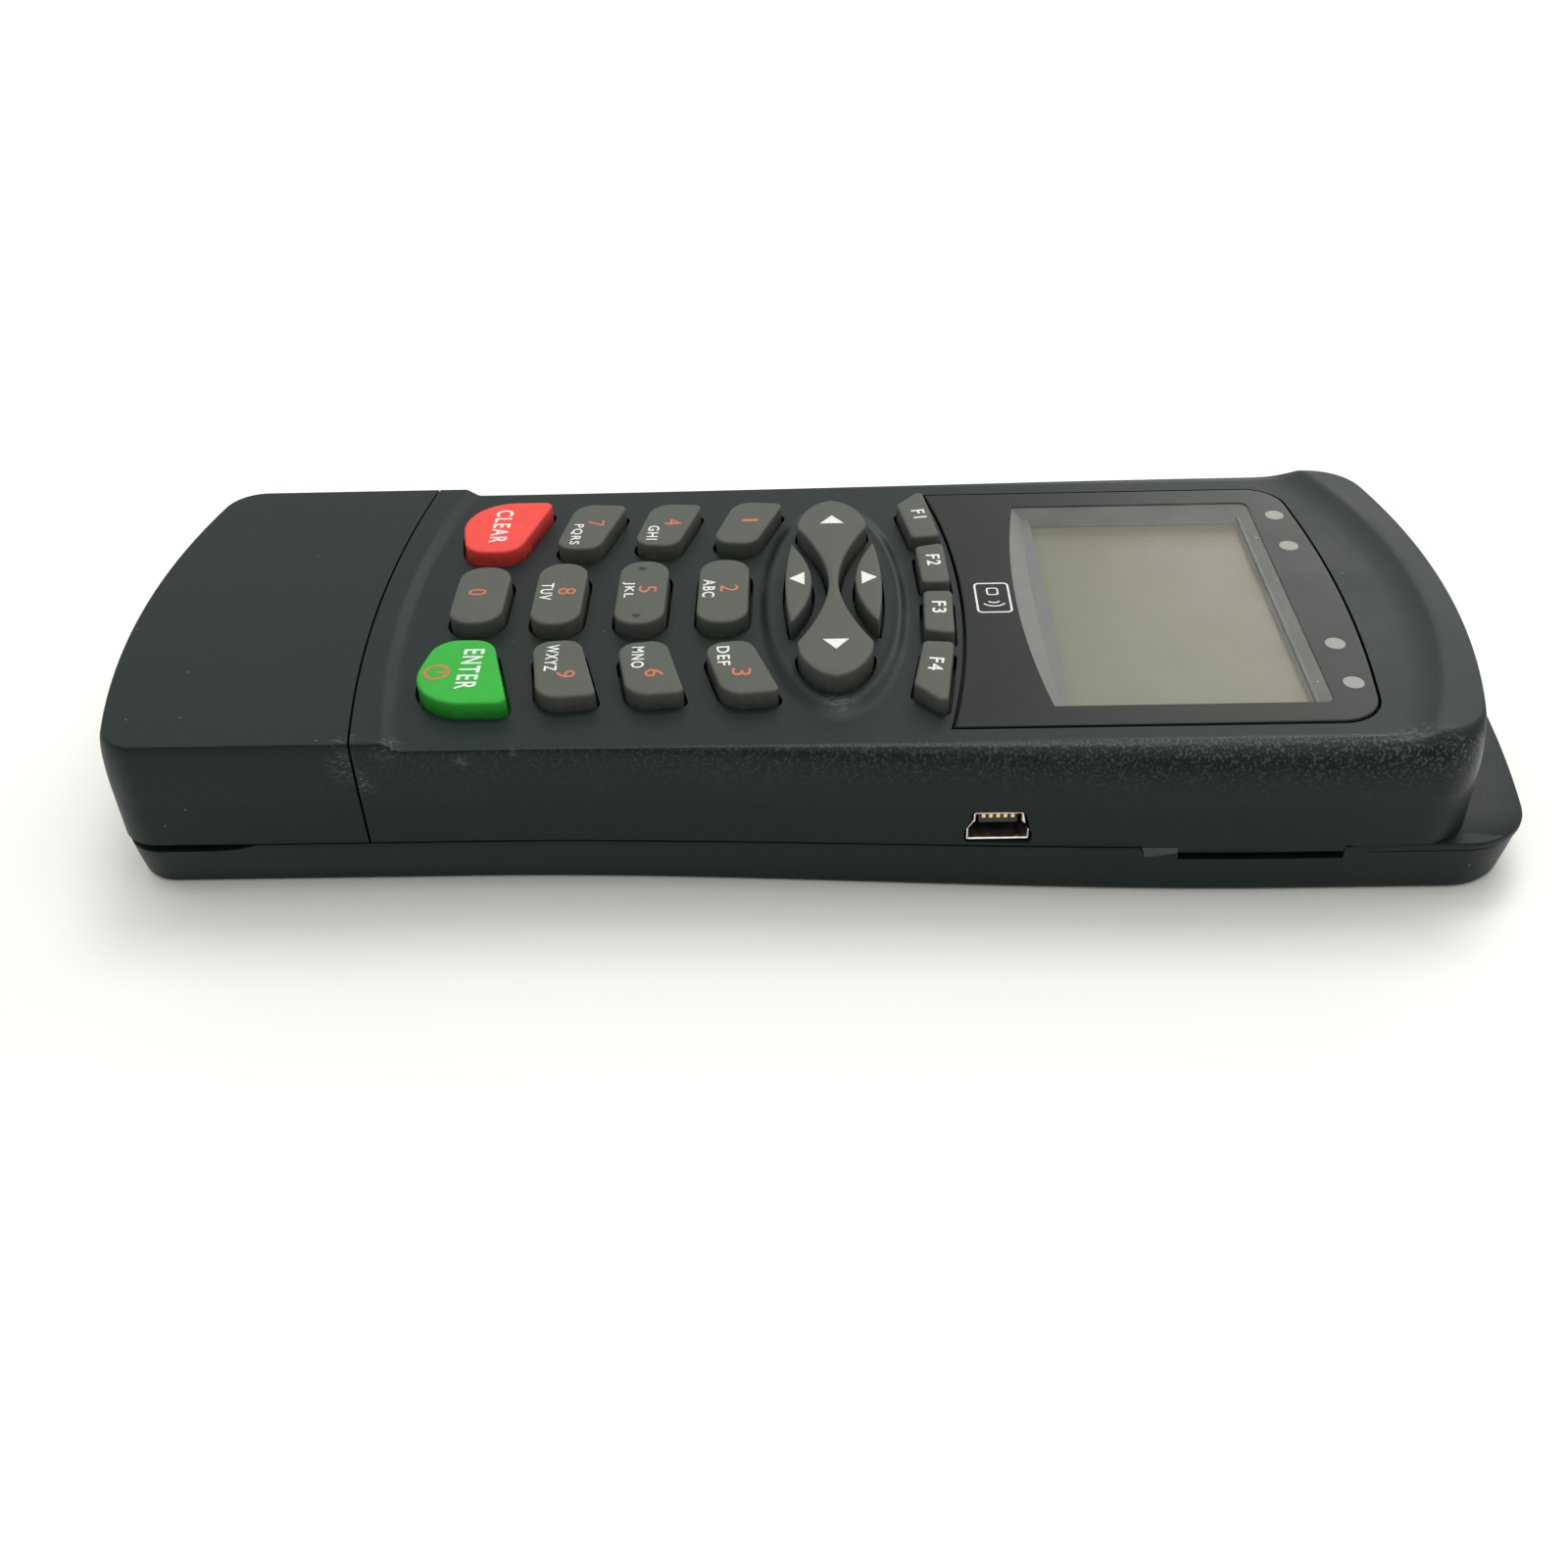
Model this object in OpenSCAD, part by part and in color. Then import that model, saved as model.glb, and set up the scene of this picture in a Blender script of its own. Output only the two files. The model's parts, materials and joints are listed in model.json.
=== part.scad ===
// Handheld card payment terminal lying on its back, face up.
// +Y runs from the base end to the display end, +X to the user's right, +Z out of the keypad.
// The origin is under the middle of the body, on the surface that it rests on.

/* [Casing] */
// Overall length, from the nose of the end cap to the tip of the card lip
body_len = 168.8; // [168.4:0.2:169.6]
// Half width of the casing along the grip, at the base end
grip_half_w = 30.2; // [30:0.1:30.6]
// Half width of the casing at the display end
head_half_w = 33.3; // [33:0.1:34]
// Height of the joint between the upper and the lower casing
seam_z = 7.6; // [7.5:0.05:7.7]
// Height of the keypad deck
deck_z = 20.4; // [20.3:0.05:20.6]
// Height of the end cap and of the ridges at both ends of the deck
ridge_z = 21.4; // [21.2:0.1:21.8]
// Thickness of the casing walls
wall = 1.8; // [1.6:0.1:1.9]

/* [Keys] */
// Height of the number key tops
key_top_z = 22.5; // [22.2:0.1:23]
// Height of the navigation key tops
nav_top_z = 23.5; // [23.2:0.1:24]
// Height of the oval plateau round the navigation keys
plateau_z = 21.2; // [21:0.1:21.3]
// How far a key travels when it is pressed
key_travel = 0.9; // [0.6:0.1:0.9]
// Gap round each key in its aperture
key_gap = 0.35; // [0.3:0.05:0.4]

/* [Display] */
// Half width of the display lens
lens_half_w = 27; // [26.6:0.1:27.2]
// Height of the lens face
lens_top_z = 20.5; // [20.45:0.05:20.6]
// Thickness of the lens
lens_t = 1.3; // [1.2:0.05:1.3]

/* [Batteries] */
// Radius of one cell
cell_r = 5.2; // [5:0.1:5.25]
// Length of one cell with its nub
cell_len = 44.5; // [44:0.1:44.5]
// Distance between the axes of neighbouring cells
cell_pitch = 11.4; // [11.2:0.1:11.6]

/* [Hidden] */
$fn = 48;

far = 200;                  // reaches past the whole body
base_y = -body_len / 2;
lip_y = body_len / 2;
nose_r = 105;               // curve of the base end in plan
nose_corner_r = 5;
head_y = lip_y - 5.4;       // front of the upper casing above the lip
head_r = 100;
head_corner_r = 6.5;
lip_r = 160;
lip_corner_r = 8;
lip_from_y = 63;            // the lip is thicker from here to the display end
lip_z = 6.7;                // underside of the lip
taper_from_y = -40;         // the grip widens into the head between these two
taper_to_y = 55;
cap_seam_y = -53.8;         // joint of the end cap, on the centre line
cap_seam_r = 185;
recess_base_y = -51;        // base end of the sunken deck
recess_base_r = 130;
recess_base_run = 1.4;      // width of the slope down to the deck at each end
recess_head_run = 4.6;
recess_head_y = 75;         // display end of the sunken deck
recess_head_r = 71;
deck_under_z = deck_z - wall;
seam_gap = 0.15;            // between casing pieces
crease_x = 29.5;            // long edge of the deck, along the grip and along the head
crease_head_x = 30;
base_lean = 1;              // how far the base end leans back up to the deck, and the display end
head_lean = 0.8;
shoulder_z = 13.6;          // the side walls are upright below this
slot_z0 = 6.3;              // customer card slot in the base end
slot_taper_y = [-68, -63.8];
card_half_w = 27.5;
rear_slot_z = [7.7, 8.9];   // merchant card slot above the lip
side_slot_y = [41.5, 60.1]; // narrow slot in the right wall
side_slot_z = [5.5, 6.7];
side_tab_y = 37.5;
usb_y = [17.3, 24.5];
usb_z = [8.3, 12.3];
lens_base_y = 18.95;        // lens outline
lens_base_r = 122;
lens_head_y = 65.7;
lens_head_r = 170;
lens_corner_r = 5;
window_x = 23.3;            // clear window in the adhesive film
window_y = [25.6, 59.2];
window_base_r = 140;
lcd_x = 22.6;               // visible part of the display
lcd_y = [29.9, 57.9];
film_t = 0.2;
led_x = [-19.6, -11.5, 11.5, 19.6];
led_y = 62.2;
led_r = 1.15;
board_z = [12.9, 14.5];
nav_y = 2.95;               // centre of the navigation keys
plateau_x = 23.5;
plateau_y = 8.6;
flange_z = [17.3, 18.3];    // flange under each key
flange_out = 0.7;
plunger_z = 15.5;
mat_top_z = 16.2;
rocker_z0 = 17.6;           // underside of the left-right rocker, and the axis it tilts on
rocker_pin_r = 0.8;
rocker_tip_x = 20.7;
rocker_lobe_x = 13.5;
rocker_lobe_h = 4.5;
rocker_waist_h = 0.6;
nav_key_x = 9.1;
bay_x = 17.6;               // inside of the battery bay
bay_y = [-24.2, 28];
bay_wall = 1;
bay_top_z = 12.4;
door_x = 16.9;
door_y = [-23.2, 26.7];
door_z = [0.15, 1.6];
cell_z = 7;
cell_y = -20.5;             // flat end of the cells
casing_screw_at = [[-25.2, -20.5], [25.2, -20.5], [-27.6, 29.6], [27.6, 29.6]];
board_screw_at = [[-24.9, -47.2], [24.9, -47.2], [-24.8, 64.6], [24.8, 64.6]];
floor_t = 1.6;
under_grip_half_w = 27.9;   // half widths and ends of the underside
under_head_half_w = 32.2;
under_base_y = -83.8;
under_head_y = 83;
plastic = [0.13, 0.14, 0.15];
rubber = [0.33, 0.34, 0.33];
metal = [0.78, 0.76, 0.7];
board_green = [0.1, 0.34, 0.2];

// ---- outlines ----
function smooth(t) = let (c = min(max(t, 0), 1)) c * c * (3 - 2 * c);
function blend(w0, w1, y) = w0 + (w1 - w0) * smooth((y - taper_from_y) / (taper_to_y - taper_from_y));
function half_w(y) = blend(grip_half_w, head_half_w, y);
function unit(v) = v / norm(v);
function turned(v) = [v.y, -v.x];
// A polygon whose edges are moved outwards by g. The points run anticlockwise.
function grown(pts, g) = let (n = len(pts))
    [for (i = [0:n - 1]) let (
        a = turned(unit(pts[i] - pts[(i + n - 1) % n])),
        b = turned(unit(pts[(i + 1) % n] - pts[i]))
    ) pts[i] + g * (a + b) / (1 + a * b)];
// A polygon with each corner i rounded to radii[i].
function rounded(pts, radii, steps = 6) = let (n = len(pts))
    [for (i = [0:n - 1]) let (
        u = unit(pts[(i + n - 1) % n] - pts[i]),
        v = unit(pts[(i + 1) % n] - pts[i]),
        corner = acos(u * v),
        c = pts[i] + unit(u + v) * radii[i] / sin(corner / 2),
        from = pts[i] + u * radii[i] / tan(corner / 2) - c,
        start = atan2(from.y, from.x)
    ) for (k = [0:steps]) let (a = start + (180 - corner) * k / steps) c + radii[i] * [cos(a), sin(a)]];
function mirrored(pts) = [for (i = [len(pts) - 1:-1:0]) [-pts[i].x, pts[i].y]];
// Right half of one end of the body: a corner arc that leaves the side, then half of the wide end arc.
function end_right(tip_y, r, corner_r, w, inset, way, steps) = let (
        c = max(corner_r, inset + 0.5),
        cx = w - c,
        hub = tip_y - way * r,
        cy = hub + way * sqrt((r - c) ^ 2 - cx ^ 2),
        sweep = atan2(abs(cy - hub), cx)
    ) concat(
        [for (k = [0:steps]) let (a = sweep * k / steps)
            [cx + (c - inset) * cos(a), cy + way * (c - inset) * sin(a)]],
        [for (k = [1:steps]) let (a = sweep + (90 - sweep) * k / steps)
            [(r - inset) * cos(a), hub + way * (r - inset) * sin(a)]]);
// The whole outline: w0 and w1 are the half widths of the grip and the head, y0 and y1 the two ends.
function body_outline(inset, w0, w1, y0, y1, head_end) = let (
        nose = end_right(y0, nose_r, nose_corner_r, w0, inset, -1, 5),
        head = end_right(y1, head_end[0], head_end[1], w1, inset, 1, 5),
        n = 12,
        side = [for (k = [1:n - 1]) let (y = nose[0].y + (head[0].y - nose[0].y) * k / n)
            [blend(w0, w1, y) - inset, y]],
        right = concat([for (i = [len(nose) - 1:-1:0]) nose[i]], side, head)
    ) concat(right, [for (i = [len(right) - 2:-1:1]) [-right[i].x, right[i].y]]);
upper_end = [head_r, head_corner_r];
lip_end = [lip_r, lip_corner_r];
function upper_outline(inset = 0) = body_outline(inset, grip_half_w, head_half_w, base_y, head_y, upper_end);
function lip_outline(inset = 0) = body_outline(inset, grip_half_w, head_half_w, base_y, lip_y, lip_end);
// How far the side has come out from the crease towards the full width, from 0 at the deck to 1.
function shoulder(z) = (1 - (1 - min((deck_z - z) / (deck_z - shoulder_z), 1)) ^ 2.2) ^ (1 / 2.2);
function upper_ring(z, inset) = let (s = shoulder(min(z, deck_z))) body_outline(inset,
    crease_x + (grip_half_w - crease_x) * s, crease_head_x + (head_half_w - crease_head_x) * s,
    base_y + base_lean * (1 - s), head_y - head_lean * (1 - s), upper_end);
function lens_outline(inset) = let (
        w = lens_half_w - inset,
        side_y = lens_base_y - lens_base_r + sqrt(lens_base_r ^ 2 - w ^ 2),
        head = end_right(lens_head_y, lens_head_r, lens_corner_r, lens_half_w, inset, 1, 6),
        base = [for (k = [-8:8]) let (x = w * k / 8)
            [x, lens_base_y + inset - lens_base_r + sqrt(lens_base_r ^ 2 - x ^ 2)]]
    ) concat(base, head, [for (i = [len(head) - 2:-1:0]) [-head[i].x, head[i].y]]);
function window_outline() = let (
        base = [for (k = [-8:8]) let (x = window_x * k / 8)
            [x, window_y[0] + window_base_r - sqrt(window_base_r ^ 2 - x ^ 2)]]
    ) concat(base, [[window_x, window_y[1]], [-window_x, window_y[1]]]);
// Half height of the left-right rocker at x: a thin waist that opens into a pointed lobe.
function rocker_h(x) = x < rocker_lobe_x
    ? rocker_waist_h + (rocker_lobe_h - rocker_waist_h) * (x / rocker_lobe_x) ^ 1.8
    : rocker_lobe_h * (1 - ((x - rocker_lobe_x) / (rocker_tip_x - rocker_lobe_x)) ^ 2) ^ 0.62;
function rocker_outline(g) = let (
        n = 24,
        upper = [for (k = [n:-1:-n]) let (x = rocker_tip_x * k / n)
            [x * (rocker_tip_x + g) / rocker_tip_x, rocker_h(abs(x)) + (abs(k) == n ? 0 : g)]]
    ) [for (p = concat(upper, [for (i = [len(upper) - 2:-1:1]) [upper[i].x, -upper[i].y]])) p + [0, nav_y]];
// The up key, a lens between a flat outer arc and a deeper inner arc; way is -1 for the down key.
function nav_outline(g, way) = let (
        w = nav_key_x + g,
        outer = [for (k = [8:-1:-8]) let (x = w * k / 8) [x, nav_y + way * (5.98 + g - 0.0085 * x ^ 2)]],
        inner = [for (k = [-8:8]) let (x = w * k / 8) [x, nav_y + way * (2.7 - g + 0.029 * x ^ 2)]]
    ) way > 0 ? concat(outer, inner) : [for (p = concat(outer, inner)) [-p.x, p.y]];

// Corners and corner radii of the right-hand and middle keys, anticlockwise from the lower left.
enter_pts = [[10.25, -44.6], [23.55, -47.1], [23.5, -34.5], [10.4, -37.9]];
enter_radii = [3.4, 6.2, 1, 2.8];
nine_pts = [[11, -33.2], [22.85, -31.3], [22.2, -24.45], [10.6, -27.5]];
six_pts = [[11.75, -23.05], [22.55, -20.95], [22, -14.35], [11, -17.25]];
three_pts = [[12, -12.85], [22.75, -9.9], [22, -3.4], [11.2, -7.15]];
side_radii = [2.2, 3, 0.9, 2.2];
function mid_pts(half, y0, y1) = [[-half, y0], [half, y0], [half, y1], [-half, y1]];
mid_radii = [2.9, 2.9, 2.9, 2.9];
f3_pts = [[1, 14], [9.75, 13.6], [10.75, 17.2], [1, 17.55]];
f4_pts = [[12.1, 13.35], [21, 11.75], [25.2, 15.3], [12.5, 17]];
f_radii = [0.7, 0.7, 0.7, 0.7];
flipped_side = [for (i = [3:-1:0]) side_radii[i]];
flipped_enter = [for (i = [3:-1:0]) enter_radii[i]];

// Each pressed key: name, corners, radii, plunger centre, plunger radius, colour.
keys = [
    ["key_1", mirrored(three_pts), flipped_side, [-17, -8.2], 2.2, rubber],
    ["key_2", mid_pts(7.4, -13.9, -7.6), mid_radii, [0, -10.75], 2.2, rubber],
    ["key_3", three_pts, side_radii, [17, -8.2], 2.2, rubber],
    ["key_4", mirrored(six_pts), flipped_side, [-17, -18.8], 2.2, rubber],
    ["key_5", mid_pts(7.4, -24, -17.8), mid_radii, [0, -20.9], 2.2, rubber],
    ["key_6", six_pts, side_radii, [17, -18.8], 2.2, rubber],
    ["key_7", mirrored(nine_pts), flipped_side, [-17, -29], 2.2, rubber],
    ["key_8", mid_pts(7.2, -34.3, -28.1), mid_radii, [0, -31.2], 2.2, rubber],
    ["key_9", nine_pts, side_radii, [17, -29], 2.2, rubber],
    ["key_0", mid_pts(6.6, -44.3, -37.8), mid_radii, [0, -41], 2.2, rubber],
    ["key_clear", mirrored(enter_pts), flipped_enter, [-17, -40.8], 2.2, [0.85, 0.16, 0.16]],
    ["key_enter", enter_pts, enter_radii, [17, -40.8], 2.2, [0.14, 0.62, 0.16]],
    ["key_f1", mirrored(f4_pts), f_radii, [-17.4, 14.7], 1.3, rubber],
    ["key_f2", mirrored(f3_pts), f_radii, [-5.6, 15.6], 1.3, rubber],
    ["key_f3", f3_pts, f_radii, [5.6, 15.6], 1.3, rubber],
    ["key_f4", f4_pts, f_radii, [17.4, 14.7], 1.3, rubber],
];
rocker_plungers = [[-14, nav_y], [14, nav_y]];
nav_plungers = [[0, nav_y + 4.45], [0, nav_y - 4.45]];
function key_outline(k, g) = rounded(grown(k[1], g), [for (r = k[2]) r + g]);

// ---- small helpers ----
module box(x, y, z) {
    translate([x[0], y[0], z[0]]) cube([x[1] - x[0], y[1] - y[0], z[1] - z[0]]);
}
module slab(pts, z0, z1) {
    translate([0, 0, z0]) linear_extrude(height = z1 - z0) polygon(pts);
}
// A profile in the Y and Z plane, run from x0 to x1.
module along(pts, x0, x1) {
    translate([x0, 0, 0]) rotate([90, 0, 90]) linear_extrude(height = x1 - x0) polygon(pts);
}
module post(at, r, z0, z1) {
    translate([at.x, at.y, z0]) cylinder(r = r, h = z1 - z0);
}
module disc(y, r, z0, z1) {
    translate([0, y, z0]) cylinder(r = r, h = z1 - z0, $fn = 240);
}
// A solid through a stack of equal-sized rings of points, from the lowest to the highest.
module loft(rings) {
    n = len(rings[0]);
    m = len(rings);
    polyhedron(
        points = [for (ring = rings) for (p = ring) p],
        faces = concat(
            [[for (i = [0:n - 1]) i]],
            [for (j = [0:m - 2]) for (i = [0:n - 1]) for (t = [0, 1])
                let (a = j * n, b = a + n, i2 = (i + 1) % n)
                t == 0 ? [a + i, b + i2, a + i2] : [a + i, b + i, b + i2]],
            [[for (i = [n - 1:-1:0]) (m - 1) * n + i]]),
        convexity = 6);
}
function at_z(pts, z) = [for (p = pts) [p.x, p.y, z]];
// ---- casing ----
shoulder_steps = [shoulder_z, 15.4, 17, 18.6, 19.7, 20.2];
crown = [[deck_z, 0], [ridge_z - 0.5, 0.5], [ridge_z - 0.18, 1.3], [ridge_z, 3.2]];
module upper_solid() {
    loft(concat(
        [at_z(upper_ring(seam_z, 0), seam_z)],
        [for (z = shoulder_steps) at_z(upper_ring(z, 0), z)],
        [for (c = crown) at_z(upper_ring(c[0], c[1]), c[0])]));
}
module upper_hollow() {
    loft(concat(
        [at_z(upper_ring(seam_z, wall), seam_z - 1)],
        [for (z = [shoulder_z, 15.8]) at_z(upper_ring(z, wall), z)],
        [at_z(upper_ring(deck_under_z, wall + 0.4), deck_under_z)]));
}
module deck_recess() {
    rise = ridge_z - deck_z;
    intersection() {
        translate([0, recess_base_y + recess_base_r, deck_z])
            cylinder(h = 2 * rise, r1 = recess_base_r - recess_base_run,
                r2 = recess_base_r + recess_base_run, $fn = 240);
        translate([0, recess_head_y - recess_head_r, deck_z])
            cylinder(h = 2 * rise, r1 = recess_head_r - recess_head_run,
                r2 = recess_head_r + recess_head_run, $fn = 240);
    }
}
module upper_shell() {
    difference() {
        upper_solid();
        upper_hollow();
    }
}
module cap_side(gap) {
    disc(cap_seam_y + cap_seam_r, cap_seam_r - gap, -1, 40);
}
module plateau(z0, z1, out) {
    slab([for (a = [0:6:354]) [(plateau_x + out) * cos(a), nav_y + (plateau_y + out) * sin(a)]], z0, z1);
}
module key_apertures() {
    for (k = keys) slab(key_outline(k, key_gap), 17, 25);
    slab(rocker_outline(key_gap), 17, 25);
    for (way = [-1, 1]) slab(nav_outline(key_gap, way), 17, 25);
}
module head_slot() {
    box([-card_half_w, card_half_w], [60, 100], rear_slot_z);
}
module usb_hole(gap) {
    box([20, 40], [usb_y[0] - gap, usb_y[1] + gap], [usb_z[0] - gap, usb_z[1] + gap]);
}
module top_casing() color(plastic) {
    difference() {
        union() {
            difference() {
                intersection() {
                    upper_shell();
                    cap_side(seam_gap / 2);
                }
                deck_recess();
            }
            plateau(deck_z - 0.5, plateau_z, 0);
            slab(lens_outline(0.3), deck_under_z - 0.9, deck_under_z + 0.1);
            difference() {
                slab(lip_outline(), lip_z, seam_z + 0.1);
                slab(upper_outline(wall), lip_z - 1, seam_z + 1);
                box([-far, far], [-far, lip_from_y], [0, far]);
            }
            // Tab that hangs down over the narrow side slot, with a ramp at its base end.
            intersection() {
                slab(upper_outline(), side_slot_z[1], seam_z + 0.1);
                along([[side_tab_y, seam_z], [side_slot_y[0], side_slot_z[1]],
                    [side_slot_y[1], side_slot_z[1]], [side_slot_y[1], far],
                    [side_tab_y, far]], grip_half_w, far);
            }
            for (p = casing_screw_at) post(p, 2.9, seam_z, board_z[0]);
            for (p = casing_screw_at) post(p, 1.6, seam_z, deck_under_z + 0.5);
            for (p = board_screw_at) post(p, 2, board_z[1], deck_under_z + 0.5);
        }
        key_apertures();
        slab(lens_outline(-0.15), lens_top_z - lens_t - film_t, 25);
        box([-25, 25], [24.6, 60.6], [17, 25]);
        for (x = led_x) post([x, led_y], led_r + 0.15, 17, 25);
        for (p = casing_screw_at) post(p, 1.25, 0, 13);
        for (p = board_screw_at) post(p, 0.95, 0, 17.2);
        head_slot();
        usb_hole(0.2);
    }
}
module end_cap() color(plastic) {
    difference() {
        upper_shell();
        cap_side(-seam_gap / 2);
    }
    // Tongue that hooks under the upper casing.
    difference() {
        box([-20, 20], [cap_seam_y - 4, cap_seam_y + 3], [deck_under_z - 1.2, deck_under_z - 0.1]);
        box([-21, 21], [cap_seam_y - 10, cap_seam_y - 3], [0, deck_under_z - 0.8]);
    }
    box([-20, 20], [cap_seam_y - 4, cap_seam_y - 1.5], [deck_under_z - 0.2, deck_under_z + 0.6]);
}
module lower_body(inset, z0) {
    loft([
        at_z(body_outline(inset + 0.7, under_grip_half_w, under_head_half_w,
            under_base_y, under_head_y, lip_end), z0),
        at_z(body_outline(inset, under_grip_half_w + 0.2, under_head_half_w + 0.1,
            under_base_y - 0.3, under_head_y + 0.5, lip_end), z0 + 0.9),
        at_z(lip_outline(inset + 0.15), seam_z - seam_gap)]);
}
module card_slit() {
    along([[-far, slot_z0], [slot_taper_y[0], slot_z0], [slot_taper_y[1], seam_z], [slot_taper_y[1], far],
        [-far, far]], -far, far);
}
module bay_block(z0, z1) {
    box([-bay_x - bay_wall, bay_x + bay_wall], [bay_y[0] - bay_wall, bay_y[1] + bay_wall], [z0, z1]);
}
module lower_casing() color(plastic) {
    difference() {
        union() {
            difference() {
                lower_body(0, 0);
                difference() {
                    lower_body(wall, floor_t);
                    bay_block(0, far);
                }
            }
            bay_block(floor_t, bay_top_z);
            for (p = casing_screw_at) post(p, 3, floor_t - 0.5, seam_z - 0.1);
            // Rests for the two card reader boards.
            for (x = [-22, 20]) box([x, x + 2], [-58, -30], [floor_t - 0.5, 3.2]);
            for (x = [-22, 20]) box([x, x + 2], [36, 58], [floor_t - 0.5, 3.4]);
        }
        box([-bay_x, bay_x], bay_y, [floor_t, far]);
        box([-door_x - 0.3, door_x + 0.3], [door_y[0] - 0.4, door_y[1] + 0.3], [-1, floor_t + 1]);
        for (p = casing_screw_at) {
            post(p, 1.5, -1, 20);
            post(p, 2.5, -1, 2.8);
        }
        card_slit();
        // The rim is lower where the lip of the upper casing sits on it.
        box([-far, far], [lip_from_y - seam_gap, far], [lip_z - seam_gap, far]);
        // Cut-out for the tab and the narrow side slot.
        along([[side_tab_y - seam_gap, seam_z - seam_gap], [side_slot_y[0], side_slot_z[0]],
            [side_slot_y[1] + seam_gap, side_slot_z[0]], [side_slot_y[1] + seam_gap, far],
            [side_tab_y - seam_gap, far]], grip_half_w - 1, far);
    }
}
module battery_door() color(plastic) {
    difference() {
        box([-door_x, door_x], door_y, door_z);
        // Ribs for the thumb, cut across the outer face.
        for (k = [0:4]) box([-6, 6], [door_y[0] + 4 + 2 * k, door_y[0] + 5 + 2 * k], [-1, door_z[0] + 0.3]);
    }
    // Two tabs that hook inside the casing floor, and the springy latch at the other end.
    for (x = [-7.2, 4.2]) {
        box([x, x + 3], [door_y[1] - 2, door_y[1] + 1], [1.75, 2.5]);
        box([x, x + 3], [door_y[1] - 2, door_y[1] - 0.5], [door_z[1] - 0.2, 2]);
    }
    box([-4, 4], [door_y[0] + 0.1, door_y[0] + 1], [door_z[1] - 0.2, 3.6]);
}
module casing_screws() color(metal) {
    for (p = casing_screw_at) difference() {
        union() {
            post(p, 2.2, 1, 2.75);
            post(p, 1.2, 2.7, 12);
        }
        for (a = [0, 90]) translate([p.x, p.y, 1]) rotate([0, 0, a]) cube([2.6, 0.5, 1.2], center = true);
    }
}

// ---- display ----
module display_lens() color([0.08, 0.09, 0.1, 0.5]) {
    slab(lens_outline(0), lens_top_z - lens_t, lens_top_z);
}
module lens_adhesive_film() color([0.03, 0.03, 0.03]) {
    difference() {
        slab(lens_outline(0.2), lens_top_z - lens_t - film_t, lens_top_z - lens_t);
        slab(window_outline(), 10, 30);
        for (x = led_x) post([x, led_y], led_r, 10, 30);
    }
}
module lcd_frame() color([0.6, 0.62, 0.63]) {
    difference() {
        box([-24.8, 24.8], [24.8, 60.4], [18, 18.95]);
        box([-lcd_x, lcd_x], lcd_y, [17, 20]);
    }
}
module lcd_panel() color([0.58, 0.6, 0.5]) {
    box([-24.6, 24.6], [25.2, 60.2], [16.8, 18]);
}
module lcd_backlight() color([0.85, 0.86, 0.84]) {
    box([-24.2, 24.2], [25.6, 59.8], [board_z[1], 16.8]);
}
module display_flex() color([0.75, 0.45, 0.15]) {
    box([-10, 10], [24, 25.2], [17, 17.2]);
    box([-10, 10], [24, 24.2], [board_z[1] + 0.2, 17.1]);
    box([-10, 10], [21, 24.2], [board_z[1], board_z[1] + 0.2]);
}
module led_light_pipes() color([0.72, 0.74, 0.72]) {
    for (x = led_x) post([x, led_y], led_r, 15.3, lens_top_z - lens_t - film_t);
}
module status_leds() color([0.9, 0.9, 0.8]) {
    for (x = led_x) box([x - 0.8, x + 0.8], [led_y - 0.4, led_y + 0.4], [board_z[1], 15.2]);
}

// ---- keys ----
module pressed_key(k) color(k[5]) {
    slab(key_outline(k, 0), flange_z[1] - 0.1, key_top_z);
    slab(key_outline(k, flange_out), flange_z[0], flange_z[1]);
    post(k[3], k[4], plunger_z, flange_z[0] + 0.1);
}
// Bar along the length, under the rocker's waist.
module rocker_bar(r, half) {
    translate([0, nav_y - half, rocker_z0]) rotate([-90, 0, 0]) cylinder(r = r, h = 2 * half);
}
module key_left_right() color(rubber) {
    difference() {
        slab(rocker_outline(0), rocker_z0, nav_top_z);
        rocker_bar(rocker_pin_r + 0.06, 3);
    }
    for (p = rocker_plungers) post(p, 2, plunger_z, rocker_z0 + 0.1);
}
module nav_key(way) color(rubber) {
    slab(nav_outline(0, way), flange_z[1] - 0.1, nav_top_z);
    slab(nav_outline(flange_out, way), flange_z[0], flange_z[1]);
    post(nav_plungers[way > 0 ? 0 : 1], 1.2, plunger_z, flange_z[0] + 0.1);
}
module keypad_mat() color([0.25, 0.26, 0.26]) {
    difference() {
        box([-26, 26], [-49, 20.6], [board_z[1], mat_top_z]);
        for (k = keys) post(k[3], k[4] + 0.5, 0, 30);
        for (p = rocker_plungers) post(p, 2.6, 0, 30);
        for (p = nav_plungers) post(p, 1.7, 0, 30);
        for (p = board_screw_at) post(p, 2.5, 0, 30);
        for (p = casing_screw_at) post(p, 3.2, 0, 30);
    }
    rocker_bar(rocker_pin_r, 1.6);
    box([-0.5, 0.5], [nav_y - 1.6, nav_y + 1.6], [mat_top_z - 0.2, rocker_z0]);
}
module key_contact_pads() color([0.85, 0.7, 0.3]) {
    for (k = keys) post(k[3], k[4], board_z[1], board_z[1] + 0.05);
    for (p = rocker_plungers) post(p, 2, board_z[1], board_z[1] + 0.05);
    for (p = nav_plungers) post(p, 1.2, board_z[1], board_z[1] + 0.05);
}

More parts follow.
